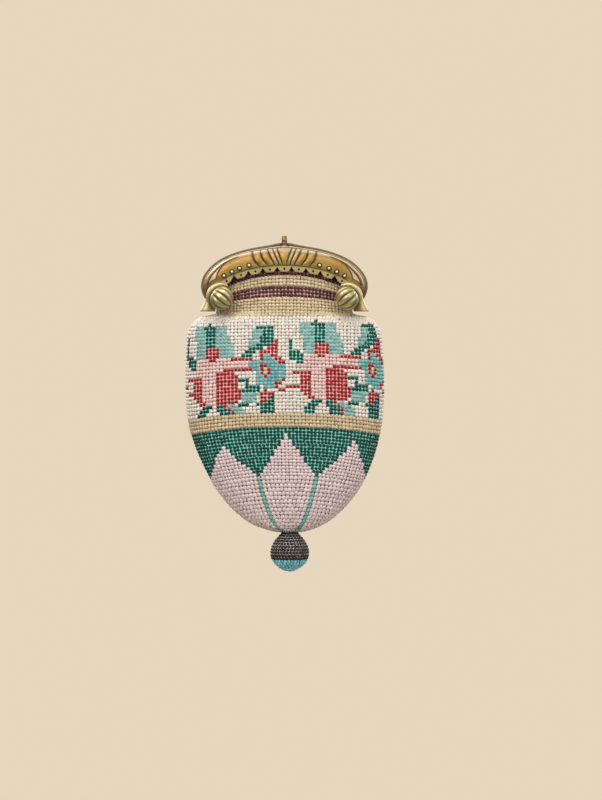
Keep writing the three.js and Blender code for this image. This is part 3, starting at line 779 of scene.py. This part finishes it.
def giltHalf(half):
    pieces = [pressedPlate(half), sewingFlange(half)]
    if half == "back":
        pieces.append(rimBacking())
    boss = roundBoss()
    for side in sides.values():
        for spot in bossSizes["places"]:
            pieces.append(copied(boss, "boss_copy", bossPlace(half, spot, side)))
        pieces += [scrollCollar(half, side), flaredFoot(half, side), hingeKnuckle(half, side)]
    bpy.data.objects.remove(boss)
    gilt = joined("gilt_frame_" + half, pieces)
    dress(gilt, giltFinish, ["frame_" + half])
    return gilt


for half in halves:
    giltHalf(half)
    for sideName, side in sides.items():
        knob = ribbedKnob(f"ribbed_knob_{half}_{sideName}")
        knob.data.transform(knobPlace(half, side))
        dress(knob, knobFinish, [f"knob_{half}_{sideName}"])
for sideName, side in sides.items():
    pin = hingePin(side)
    pin.name = "pin_" + sideName
    dress(pin, postFinish, ["hinge_pin_" + sideName])
print("gilt frame, knobs and pins made")

# Turned pieces: a profile of radius and height spun round the axis
spinSteps = 40


def turnedPiece(name, profile, centreX=0.0):
    mesh = bpy.data.meshes.new(name)
    mesh.from_pydata([(centreX * mm + r * mm, 0, z * mm) for r, z in profile],
                     [(i, i + 1) for i in range(len(profile) - 1)], [])
    piece = bpy.data.objects.new(name, mesh)
    bpy.context.collection.objects.link(piece)
    editAll(piece)
    bpy.ops.mesh.spin(steps=spinSteps, angle=2 * math.pi, center=(centreX * mm, 0, 0), axis=(0, 0, 1))
    bpy.ops.object.mode_set(mode="OBJECT")
    closeUp(piece, 2e-6)
    return piece


# Catch post: hidden collar, shank, waist and rounded top
catchSizes = {
    "waist": 2.02, "waistLine": 0.12, "foot": (1.4, 0.7), "top": (4.1, 4.5),
    "profile": [(0, -7.0), (2.2, -7.0), (2.4, -6.85), (2.4, -6.35), (2.2, -6.2), (1.45, -6.2), (1.47, 0.6),
                (1.42, 1.2), (1.3, 2.0), (1.42, 2.1), (1.45, 2.3), (1.4, 2.5), (1.27, 4.1), (1.18, 4.42),
                (0.95, 4.58), (0, 4.62)],
}
post = turnedPiece("catch_post", catchSizes["profile"])
softEdges(post, 35)
# a dark waist line, darker towards the foot, and a painted highlight on the rounded top
high = pointsOf(post)[:, 2] / mm
waistLine = np.exp(-(((high - catchSizes["waist"]) / catchSizes["waistLine"]) ** 2))
setMasks(post, groove=0.85 * waistLine + 0.5 * ease(*catchSizes["foot"], high),
         polish=0.15 * ease(*catchSizes["top"], high))
dress(post, postFinish, ["catch_plunger"], body="catch")
print("catch post made")

# Bead-knit bag. Each row of the form: height at the front and at the sides, half width, half depth,
# roundness of the section, shift to the right
bagForm = {
    "wall": 1.6, "archPower": 2.2, "edgePower": 0.6, "lastRow": 20.98, "groundEnd": 20.95,
    "roundSteps": 1441, "quarterSteps": 721, "downSteps": 4001,
    "rows": [(-9.6, -19.5, 32.4, 4.5, 0.7, 0), (-13.4, -22, 32.8, 4.9, 0.9, 0),
             (-20.1, -26, 33, 5.8, 1.7, 0), (-27, -30.2, 33, 6.8, 1.8, 0),
             (-32, -33.3, 33.6, 8.2, 1.6, 0), (-34.8, -35, 40.2, 9.4, 1.4, 0),
             (-38, -38.6, 45.3, 10.8, 1.3, 0), (-43.5, -44.6, 47.5, 12.2, 1.2, 0),
             (-54, -56, 48.4, 13.6, 1.15, 0.1), (-66, -68.5, 48.7, 14.7, 1.1, 0.2),
             (-78, -81.3, 48.1, 15.4, 1.1, 0.3), (-88.6, -92.6, 46.3, 15.7, 1.05, 0.6),
             (-95, -99.2, 44.5, 15.6, 1.05, 0.9), (-101, -105.2, 42.2, 15.3, 1, 1.2),
             (-108.9, -113, 38.7, 14.6, 1, 1.5), (-115.6, -119.3, 35, 13.7, 1, 1.6),
             (-122.6, -125.6, 30.3, 12.4, 1, 1.7), (-129.4, -131.4, 24.6, 10.9, 1, 1.8),
             (-134.6, -135.8, 18.8, 9.2, 1, 1.9), (-137.8, -138.4, 13, 7.4, 1, 2.1),
             (-140, -140.2, 6.2, 4.6, 1, 2.3), (-140.7, -140.7, 0.02, 0.02, 1, 2.4)],
}


def bagPoint(row, turn):
    frontZ, sideZ, halfWidth, halfDepth, lens, shift = np.moveaxis(through(bagForm["rows"], row), -1, 0)
    wall = np.minimum(bagForm["wall"], halfDepth)
    s, c = np.sin(turn), np.cos(turn)
    reach = np.abs(c)
    y = (halfDepth - wall) * reach**lens + wall * reach ** bagForm["edgePower"]
    z = lerp(frontZ, sideZ, np.abs(s) ** bagForm["archPower"])
    return columns(shift + halfWidth * s, -np.sign(c) * y, z)


# Turns round the bag spaced evenly along the knitting, from the share of the way round (0 at front centre)
def turnsAt(row, share):
    turn = np.linspace(-math.pi, math.pi, bagForm["roundSteps"])
    line = bagPoint(np.full(turn.shape, row), turn)
    length = lengthAlong(line)
    share = (np.asarray(share) + 0.5) % 1.0
    return np.interp(share * length[-1], length, turn), length[-1]


# Shares of the way round for a band drawn evenly across the front, with the local change of spacing
def spreadEvenly(row, shares):
    turn = np.linspace(0, math.pi / 2, bagForm["quarterSteps"])
    line = bagPoint(np.full(turn.shape, row), turn)
    sideways = line[:, 0] - line[0, 0]
    length = lengthAlong(line)
    steps, soft = knitting["evenSteps"]
    even = np.linspace(0, knitting["drawnQuarter"], steps)
    arc = np.interp(even, sideways, length)
    left = (length[-1] - arc) / np.maximum(knitting["drawnQuarter"] - even, 1e-6)
    kept = (even < knitting["evenTo"] * sideways[-1]) & (left > knitting["tightest"])
    limit = max(int(kept.sum()) - 1, 1)
    pace = np.where(np.arange(steps) < limit, np.gradient(arc, even), left[limit])
    window = 2 * soft + 1
    pace = np.convolve(np.pad(pace, soft, mode="edge"), np.full(window, 1 / window), mode="valid")
    arc = np.concatenate([[0], np.cumsum((pace[1:] + pace[:-1]) / 2)])
    around = (np.asarray(shares) + 0.5) % 1.0 - 0.5
    behind = np.abs(around) > 0.25
    reach = np.where(behind, 0.5 - np.abs(around), np.abs(around)) * 4 * knitting["drawnQuarter"]
    moved = np.interp(reach, even, arc / arc[-1]) / 4
    stitch = np.interp(reach, even, pace) * 4 * knitting["drawnQuarter"] / len(around)
    return np.where(behind, 0.5 - moved, moved) * np.sign(around), stitch


def unit(vectors):
    return vectors / np.maximum(np.linalg.norm(vectors, axis=-1, keepdims=True), 1e-12)


# Directions along the row, down the bag and out of it
def bagAxes(row, turn):
    nudge = 0.01
    right = unit(bagPoint(row, turn + nudge) - bagPoint(row, turn - nudge))
    lower = np.minimum(row + nudge, bagForm["lastRow"])
    down = bagPoint(lower, turn) - bagPoint(np.maximum(row - nudge, 0), turn)
    away = unit(np.cross(down, right))
    return right, np.cross(right, away), away


# Knitted bands from the top: pattern, height of its upper edge at front centre, rows, stitch width, repeats
knitting = {
    "bands": [("maroon", -9.9, 3, 1.75, 1), ("cream", -15.0, 3, 1.75, 1), ("maroon", -20.1, 3, 1.75, 1),
              ("cream", -25.5, 6, 1.75, 1), ("chart", -34.9, 28, None, 120), ("cream", -82.0, 4, None, 120),
              ("petals", -88.6, 15, 1.8, 6), ("foot", -112.4, 16, 2.0, 6)],
    "endZ": -140.3,
    "chartStart": 27.8,  # chart column at front centre
    # each petal's tip, front centre first, to the right: height, lean as a share of the way round
    "tips": [(-92.0, 0), (-93.6, 0.002), (-93.5, 0), (-92.8, 0), (-95.0, 0), (-96.4, 0.01)],
    "notch": -112.4, "petalHalf": 13.6,  # where the petals meet, and half a petal there
    # the flower band: length of a quarter as drawn, share of the half width drawn evenly, tightest spacing
    # beyond it, steps of the working out and how many are blended
    "drawnQuarter": 53.35, "evenTo": 0.78, "tightest": 0.76, "evenSteps": (400, 20),
    "sink": 0.58, "bulge": 0.58, "slant": 20.0, "slantSpread": 6, "wobble": 0.09, "sizeSpread": 0.04,
    "placeSpread": 0.06, "toneSpread": 0.22,
}

# The flower band, a bead a letter: . white, t teal, g green, r red, p rose, b blue, c cream
chartKinds = {".": "white", "t": "teal", "g": "green", "r": "red", "p": "rose", "b": "blue", "c": "cream"}
flowerChart = [
    "..............................",
    "..............................",
    "......g.......................",
    "..tttggggttt........ggggg.....",
    "..ttttgggttt.......tttggg.....",
    "..ttttgggttt.......tttggg.....",
    "..ttttgggtttt......ttgggg.....",
    "...tttgggtttt.....tttggggr...g",
    "...tttgggttttt....ttggggrr...g",
    "...tttrrrrtttt....gggg.rrr...g",
    "...tttrrrrtttt...ggg.rrrrr...g",
    "gg.tttrrrrtttt..ggg..rbbrr...g",
    "ggg.ppprrpppprrrrrr..rbbbrr..g",
    "gggpppppppppppppppbbbbbbbbrr..",
    ".ggpppppppppppppppbbbrrbbbbb..",
    ".pppppppppprrrrrrrrbbrcrbbbb..",
    "...pppppprrrrr......brcrbbbb..",
    "rrrrrpppprrrrrr.....bbrbbbbb..",
    "..rrrpppprrrrrrggg..bbbbbbbr..",
    "..rrrpppprrrrrr..g..bbbbbrr...",
    "..rrrpppprrrrrr..gggg.bbbr..rr",
    "rrrrrpppprrrrrrrggggg.r...rr..",
    "..rrrpppprrrrrrrtttttrrrr.....",
    "...rrpppprrrrrrrtttt.rrrg.....",
    "....rrppprrrrrr.tttt.rrgg.....",
    ".....gggpggrtt.ggg..ggggg.....",
    "....ggg..gggrttt.....gggg.....",
    "...ggg....gggrttt....gggg.....",
]


def chartBead(row, stitch):
    repeat, column = divmod(stitch, len(flowerChart[0]))
    lifted = min(row + repeat % 2, len(flowerChart) - 1)
    return chartKinds[flowerChart[lifted][column]]


def petalBead(z, share, around):
    petals = len(knitting["tips"])
    petal = round(share * petals)
    tip, lean = knitting["tips"][petal % petals]
    grown = min(max((tip - z) / (tip - knitting["notch"]), 0), 1)
    away = abs(share - petal / petals - lean * (1 - grown)) * around
    return "pink" if away < knitting["petalHalf"] * grown else "green"


def footBead(share, count):
    apart = abs((share * len(knitting["tips"])) % 1.0 - 0.5)  # from the join of two petals
    return "stem" if apart < 2 / count else "pink"


# Rows of stitches: where each lies on the form, its stitches' shares and kinds, their width and height
def knitRows():
    fine = np.linspace(0, len(bagForm["rows"]) - 1, bagForm["downSteps"])
    line = bagPoint(fine, np.zeros_like(fine))
    length = lengthAlong(line)
    lengthAt = lambda z: np.interp(-z, -line[:, 2], length)
    bands = knitting["bands"]
    ends = [band[1] for band in bands[1:]] + [knitting["endZ"]]
    rows = []
    for (pattern, top, count, width, repeats), bottom in zip(bands, ends):
        edges = np.interp(np.linspace(lengthAt(top), lengthAt(bottom), 2 * count + 1), length, fine)
        for row in range(count):
            upper, middle, lower = edges[2 * row:2 * row + 3]
            _, around = turnsAt(middle, [0.0])
            stitches = repeats
            if width is not None:
                stitches = max(repeats, repeats * round(around / (repeats * width)))
            z = float(np.interp(middle, fine, line[:, 2]))
            order = np.arange(stitches)
            shares = order / stitches  # a stitch on each petal's middle line
            if pattern == "chart":
                shares = (order + 0.5 - knitting["chartStart"]) / stitches
                kinds = [chartBead(row, stitch) for stitch in order]
            elif pattern == "petals":
                kinds = [petalBead(z, share, around) for share in shares]
            elif pattern == "foot":
                # a stitch on each join of two petals
                shares = (order + 0.5 * (stitches // repeats % 2)) / stitches
                kinds = [footBead(share, stitches) for share in shares]
            else:
                kinds = [pattern] * stitches
            pitch = np.full(stitches, around / stitches)
            if width is None:
                shares, pitch = spreadEvenly(middle, shares)
            rows.append({"edges": (upper, middle, lower), "shares": shares, "kinds": np.array(kinds),
                         "pitch": pitch, "rise": (lengthAt(bottom) - lengthAt(top)) / count})
    return rows


# One bead: a small squashed ball with its two poles pressed in for the hole, the hole along Z
def glassBead():
    bpy.ops.mesh.primitive_uv_sphere_add(segments=8, ring_count=6, radius=1)
    bead = newest("bead")
    at = pointsOf(bead)
    poles = np.abs(at[:, 2]) > 0.99
    at[poles, 2] *= 0.5
    movePoints(bead, at)
    return bead


beadTemplate = glassBead()
templatePoints = pointsOf(beadTemplate)
templateCorners = np.array([v for face in beadTemplate.data.polygons for v in face.vertices])
templateStarts = np.array([face.loop_start for face in beadTemplate.data.polygons])
bpy.data.objects.remove(beadTemplate)


# Many beads in one mesh: centres and scaled axes (out, across, along the hole), with a tone for each
def beadMesh(name, centres, axes, tones):
    count = len(centres)
    points = centres[:, None, :] + np.einsum("pk,nkj->npj", templatePoints, axes)
    order = np.arange(count)[:, None]
    corners = (templateCorners[None, :] + order * len(templatePoints)).ravel()
    starts = (templateStarts[None, :] + order * len(templateCorners)).ravel()
    mesh = bpy.data.meshes.new(name)
    mesh.vertices.add(count * len(templatePoints))
    mesh.vertices.foreach_set("co", (points * mm).astype(np.float32).ravel())
    mesh.loops.add(len(corners))
    mesh.loops.foreach_set("vertex_index", corners.astype(np.int32))
    mesh.polygons.add(len(starts))
    mesh.polygons.foreach_set("loop_start", starts.astype(np.int32))
    mesh.update(calc_edges=True)
    mesh.shade_smooth()
    piece = bpy.data.objects.new(name, mesh)
    bpy.context.collection.objects.link(piece)
    setMasks(piece, tone=np.repeat(tones, len(templatePoints)))
    return piece


# Axes of beads lying on a surface: holes along the row with a slant, a little unevenly tipped
def beadAxes(right, down, away, along, across, bulge, slant):
    count = len(right)
    tilt = scatter.normal(0, knitting["wobble"], (count, 2))
    away = unit(away + tilt[:, :1] * right + tilt[:, 1:] * down)
    turn = np.radians(slant + scatter.normal(0, knitting["slantSpread"], count))[:, None]
    hole = np.cos(turn) * right + np.sin(turn) * down
    hole = unit(hole - (hole * away).sum(1, keepdims=True) * away)
    size = 1 + scatter.normal(0, knitting["sizeSpread"], (count, 1))
    across, along = (np.broadcast_to(np.asarray(part, float).reshape(-1, 1), (count, 1))
                     for part in (across, along))
    wide = np.cross(hole, away) * across
    return np.stack([away * bulge * size, wide * size, hole * along * size], axis=1)


knitted = knitRows()
beadGroups = {}
for row in knitted:
    upper, middle, lower = row["edges"]
    turn, _ = turnsAt(middle, row["shares"])
    level = np.ones_like(turn)
    height = np.linalg.norm(bagPoint(level * lower, turn) - bagPoint(level * upper, turn), axis=1)
    stacked = np.maximum(1, np.round(height / row["rise"]))  # short rows at the shoulder
    for stack in range(int(stacked.max())):
        here = stacked > stack
        at = lerp(upper, lower, (stack + 0.5) / stacked[here])
        right, down, away = bagAxes(at, turn[here])
        kinds = row["kinds"][here]
        deeper = np.array([[beadKinds[kind]["lower"]] for kind in kinds])
        spot = bagPoint(at, turn[here]) - (knitting["sink"] + deeper) * away
        spot = spot + scatter.normal(0, knitting["placeSpread"], (len(at), 1)) * right
        spot = spot + scatter.normal(0, knitting["placeSpread"], (len(at), 1)) * down
        fill = np.array([beadKinds[kind]["fill"] for kind in kinds])
        axes = beadAxes(right, down, away, fill[:, 0] * row["pitch"][here] / 2,
                        fill[:, 1] * (height / stacked)[here] / 2, knitting["bulge"], knitting["slant"])
        tones = np.clip(0.5 + scatter.normal(0, knitting["toneSpread"], len(at)), 0, 1)
        for kind in sorted(set(kinds)):
            chosen = kinds == kind
            group = beadGroups.setdefault(kind, {"spots": [], "axes": [], "tones": []})
            group["spots"].append(spot[chosen])
            group["axes"].append(axes[chosen])
            group["tones"].append(tones[chosen])

mostBeads = 2300  # keeps each piece under 200,000 triangles
for kind, group in beadGroups.items():
    spots, axes, tones = (np.concatenate(group[name]) for name in ("spots", "axes", "tones"))
    parts = math.ceil(len(spots) / mostBeads)
    for part, chosen in enumerate(np.array_split(np.arange(len(spots)), parts)):
        name = "beads_" + kind + ("_" + "abc"[part] if parts > 1 else "")
        piece = beadMesh(name, spots[chosen], axes[chosen], tones[chosen])
        dress(piece, beadKinds[kind]["material"], ["bag"])
print("bag beads:", sum(len(s) for group in beadGroups.values() for s in group["spots"]))

# Knitted ground that the beads sit in: a thin wall whose thread follows the colour of the beads around it,
# dark round light beads as painted shade and light round dark beads as partly painted light
groundSizes = {"around": 240, "sink": 0.62, "wall": 0.8, "shade": 0.45}


def setColours(piece, name, colours):
    layer = piece.data.color_attributes.new(name, "FLOAT_COLOR", "CORNER")
    corners = [face.loop_total for face in piece.data.polygons]
    perFace = np.repeat(np.asarray(colours, np.float32), corners, axis=0)
    layer.data.foreach_set("color", perFace.ravel())


def setThreadLightAndShade(piece, threads, shade):
    setColours(piece, "thread", threads)
    setColours(piece, "shadow", [[c * shade for c in thread[:3]] + [1] for thread in threads])


def knitGround():
    edges = [0.0] + [row["edges"][0] for row in knitted] + [knitted[-1]["edges"][2], bagForm["groundEnd"]]
    ground, around, down = flatGrid("knit_ground", groundSizes["around"], len(edges) - 1)
    level = np.round(down * (len(edges) - 1)).astype(int)
    places = np.empty((len(level), 3))
    for number, row in enumerate(edges):
        here = level == number
        turn, _ = turnsAt(row, around[here] - 0.5)
        turn = np.where(around[here] > 0.999, turn + 2 * math.pi, turn)
        rows = np.full(turn.shape, row)
        places[here] = bagPoint(rows, turn) - groundSizes["sink"] * bagAxes(rows, turn)[2]
    corners = [list(face.vertices) for face in ground.data.polygons]
    movePoints(ground, places * mm)
    threads = []
    for share, height in zip(around[corners].mean(1), down[corners].mean(1)):
        number = min(max(int(height * (len(edges) - 1)) - 1, 0), len(knitted) - 1)
        row = knitted[number]
        stitch = np.argmin(np.abs((row["shares"] - share + 1.0) % 1.0 - 0.5))
        threads.append(beadKinds[row["kinds"][stitch]]["thread"])
    setThreadLightAndShade(ground, threads, groundSizes["shade"])
    editAll(ground)
    bpy.ops.mesh.remove_doubles(threshold=2e-6)
    bpy.ops.object.mode_set(mode="OBJECT")
    middle = [face for face in ground.data.polygons if face.center.y < -0.01]
    if sum(face.normal.y for face in middle) > 0:
        ground.data.flip_normals()
    area = sum(face.area for face in ground.data.polygons)
    thicken(ground, groundSizes["wall"])
    softEdges(ground, 60)
    return ground, area


ground, groundArea = knitGround()
dress(ground, threadFinish, ["bag"])
print("knitted ground made, area", round(groundArea, 5))

# Ball under the bag: a turned core wound with beads in rings, black above and turquoise below
ballForm = {
    "x": 2.6, "rowStep": 1.6, "stitch": 1.72, "change": -153.2, "sink": 0.7, "bulge": 0.68, "slant": 8,
    "toneSpread": 0.25, "coreSink": 0.54, "coreEvery": 40, "coreTop": 0.3, "shade": 0.5, "fineSteps": 1201,
    "profile": [(3.6, -139.9), (4.3, -140.5), (5.9, -142.2), (7.25, -143.8), (8.25, -145.4), (9.15, -147.4),
                (9.6, -149.8), (9.5, -152.0), (8.8, -153.9), (7.5, -155.8), (5.3, -157.7), (2.4, -159.2),
                (0.0, -159.7)],
}


def ballLine():
    fine = np.linspace(0, len(ballForm["profile"]) - 1, ballForm["fineSteps"])
    line = through(ballForm["profile"], fine)
    length = lengthAlong(line)
    slope = np.gradient(line, axis=0)
    outwards = unit(np.stack([-slope[:, 1], slope[:, 0]], axis=-1))
    return line, length, outwards


def ballRings():
    line, length, outwards = ballLine()
    rings = {"black": [], "turquoise": []}
    steps = round(length[-1] / ballForm["rowStep"])
    for step in range(steps):
        here = (step + 0.5) * length[-1] / steps
        r, z, outR, outZ = (np.interp(here, length, column) for column in (*line.T, *outwards.T))
        count = max(3, round(2 * math.pi * r / ballForm["stitch"]))
        turn = 2 * math.pi * (np.arange(count) + 0.5 * (step % 2)) / count
        c, s = np.cos(turn), np.sin(turn)
        away = columns(outR * c, outR * s, outZ)
        right = columns(-s, c, 0)
        down = np.cross(right, away)
        spot = columns(ballForm["x"] + r * c, r * s, z) - ballForm["sink"] * away
        kind = "black" if z > ballForm["change"] else "turquoise"
        fill = beadKinds[kind]["fill"]
        axes = beadAxes(right, down, away, fill[0] * ballForm["stitch"] / 2,
                        fill[1] * ballForm["rowStep"] / 2, ballForm["bulge"], ballForm["slant"])
        tones = np.clip(0.5 + scatter.normal(0, ballForm["toneSpread"], count), 0, 1)
        rings[kind].append((spot, axes, tones))
    return rings


for kind, rings in ballRings().items():
    piece = beadMesh("ball_beads_" + kind, *(np.concatenate(column) for column in zip(*rings)))
    dress(piece, beadKinds[kind]["material"], ["bead_ball"])

line, length, outwards = ballLine()
inner = (line - ballForm["coreSink"] * outwards)[::ballForm["coreEvery"]]
inner[-1, 0] = 0
core = turnedPiece("ball_core", [(0, inner[0, 1] + ballForm["coreTop"]), *inner.tolist()], ballForm["x"])
softEdges(core, 60)
upper = [face.center.z > ballForm["change"] * mm for face in core.data.polygons]
# thread colour as on the bag: light round the black beads as partly painted light, dark round the turquoise
# ones as painted shade
ballThreadLightAndShade = [beadKinds["black" if high else "turquoise"]["thread"] for high in upper]
setThreadLightAndShade(core, ballThreadLightAndShade, ballForm["shade"])
dress(core, threadFinish, ["bead_ball"])
print("ball made")

# Studio: pale floor that fades out, pale surround, soft lamps, camera straight in front
studio = {"floorZ": -0.33, "floorRadius": 0.43, "floorInset": 0.1, "fadeFrom": 0.2,
          "floor": paint(186, 174, 156), "paper": paint(230, 214, 190), "rise": (-0.55, 0.6),
          "below": (0.16, 0.13, 0.1, 1), "above": (0.85, 0.83, 0.8, 1), "strength": 0.62, "aimZ": -0.075}


def paleFloor():
    bpy.ops.mesh.primitive_circle_add(vertices=96, radius=studio["floorRadius"], fill_type="NGON",
                                      location=(0, 0, studio["floorZ"]))
    floor = newest("floor")
    bpy.ops.object.mode_set(mode="EDIT")
    bpy.ops.mesh.inset(thickness=studio["floorInset"])
    bpy.ops.object.mode_set(mode="OBJECT")
    material, tree, shader = newMaterial("paleFloor", Roughness=0.9)
    shader.inputs["Base Color"].default_value = studio["floor"]
    where = tree.nodes.new("ShaderNodeTexCoord")
    far = tree.nodes.new("ShaderNodeVectorMath")
    far.operation = "LENGTH"
    tree.links.new(where.outputs["Object"], far.inputs[0])
    fade = ranged(tree, far.outputs["Value"], studio["fadeFrom"], studio["floorRadius"], 1, 0)
    tree.links.new(fade, shader.inputs["Alpha"])
    floor.data.materials.append(material)


def paleSurround():
    world = bpy.data.worlds.new("paleSurround")
    bpy.context.scene.world = world
    world.use_nodes = True
    tree = world.node_tree
    tree.nodes.clear()
    seen = tree.nodes.new("ShaderNodeBackground")
    seen.inputs["Color"].default_value = studio["paper"]
    lit = tree.nodes.new("ShaderNodeBackground")
    where = tree.nodes.new("ShaderNodeTexCoord")
    split = tree.nodes.new("ShaderNodeSeparateXYZ")
    tree.links.new(where.outputs["Generated"], split.inputs[0])
    rise = ranged(tree, split.outputs["Z"], *studio["rise"], 0, 1)
    tree.links.new(mixed(tree, rise, studio["below"], studio["above"]), lit.inputs["Color"])
    lit.inputs["Strength"].default_value = studio["strength"]
    path = tree.nodes.new("ShaderNodeLightPath")
    mix = tree.nodes.new("ShaderNodeMixShader")
    final = tree.nodes.new("ShaderNodeOutputWorld")
    tree.links.new(path.outputs["Is Camera Ray"], mix.inputs[0])
    tree.links.new(lit.outputs[0], mix.inputs[1])
    tree.links.new(seen.outputs[0], mix.inputs[2])
    tree.links.new(mix.outputs[0], final.inputs[0])


lamps = {"keyLeft": ((-0.75, -0.95, 0.75), 0.7, 11.5), "fillRight": ((0.9, -0.8, 0.25), 0.8, 5.6),
         "topFront": ((0.0, -0.45, 0.8), 0.6, 5.6), "backLeft": ((-0.7, 0.95, 0.6), 0.7, 11.0),
         "backRight": ((0.8, 0.8, 0.35), 0.7, 6.0), "overhead": ((0.0, 0.75, 0.62), 0.8, 3.0)}


def softLamps():
    target = Vector((0, 0, studio["aimZ"]))
    for name, (place, size, power) in lamps.items():
        bpy.ops.object.light_add(type="AREA", location=place)
        lamp = newest(name)
        lamp.data.size = size
        lamp.data.energy = power
        lamp.rotation_euler = (target - Vector(place)).to_track_quat("-Z", "Y").to_euler()


# The picture is 0.388 m tall where the bag's front lies, and its middle is right of and below the catch
eye = {"x": 0.0081, "z": -0.0757, "distance": 1.5, "nearFace": 0.01, "pictureHeight": 0.388, "sensor": 36}


def frontCamera():
    bpy.ops.object.camera_add(location=(eye["x"], -eye["distance"], eye["z"]), rotation=(math.pi / 2, 0, 0))
    camera = newest("frontCamera")
    camera.data.sensor_width = eye["sensor"]
    camera.data.lens = eye["sensor"] * (eye["distance"] - eye["nearFace"]) / eye["pictureHeight"]
    bpy.context.scene.camera = camera


paleFloor()
paleSurround()
softLamps()
frontCamera()
bpy.context.scene.view_settings.view_transform = "Standard"
print("studio ready")
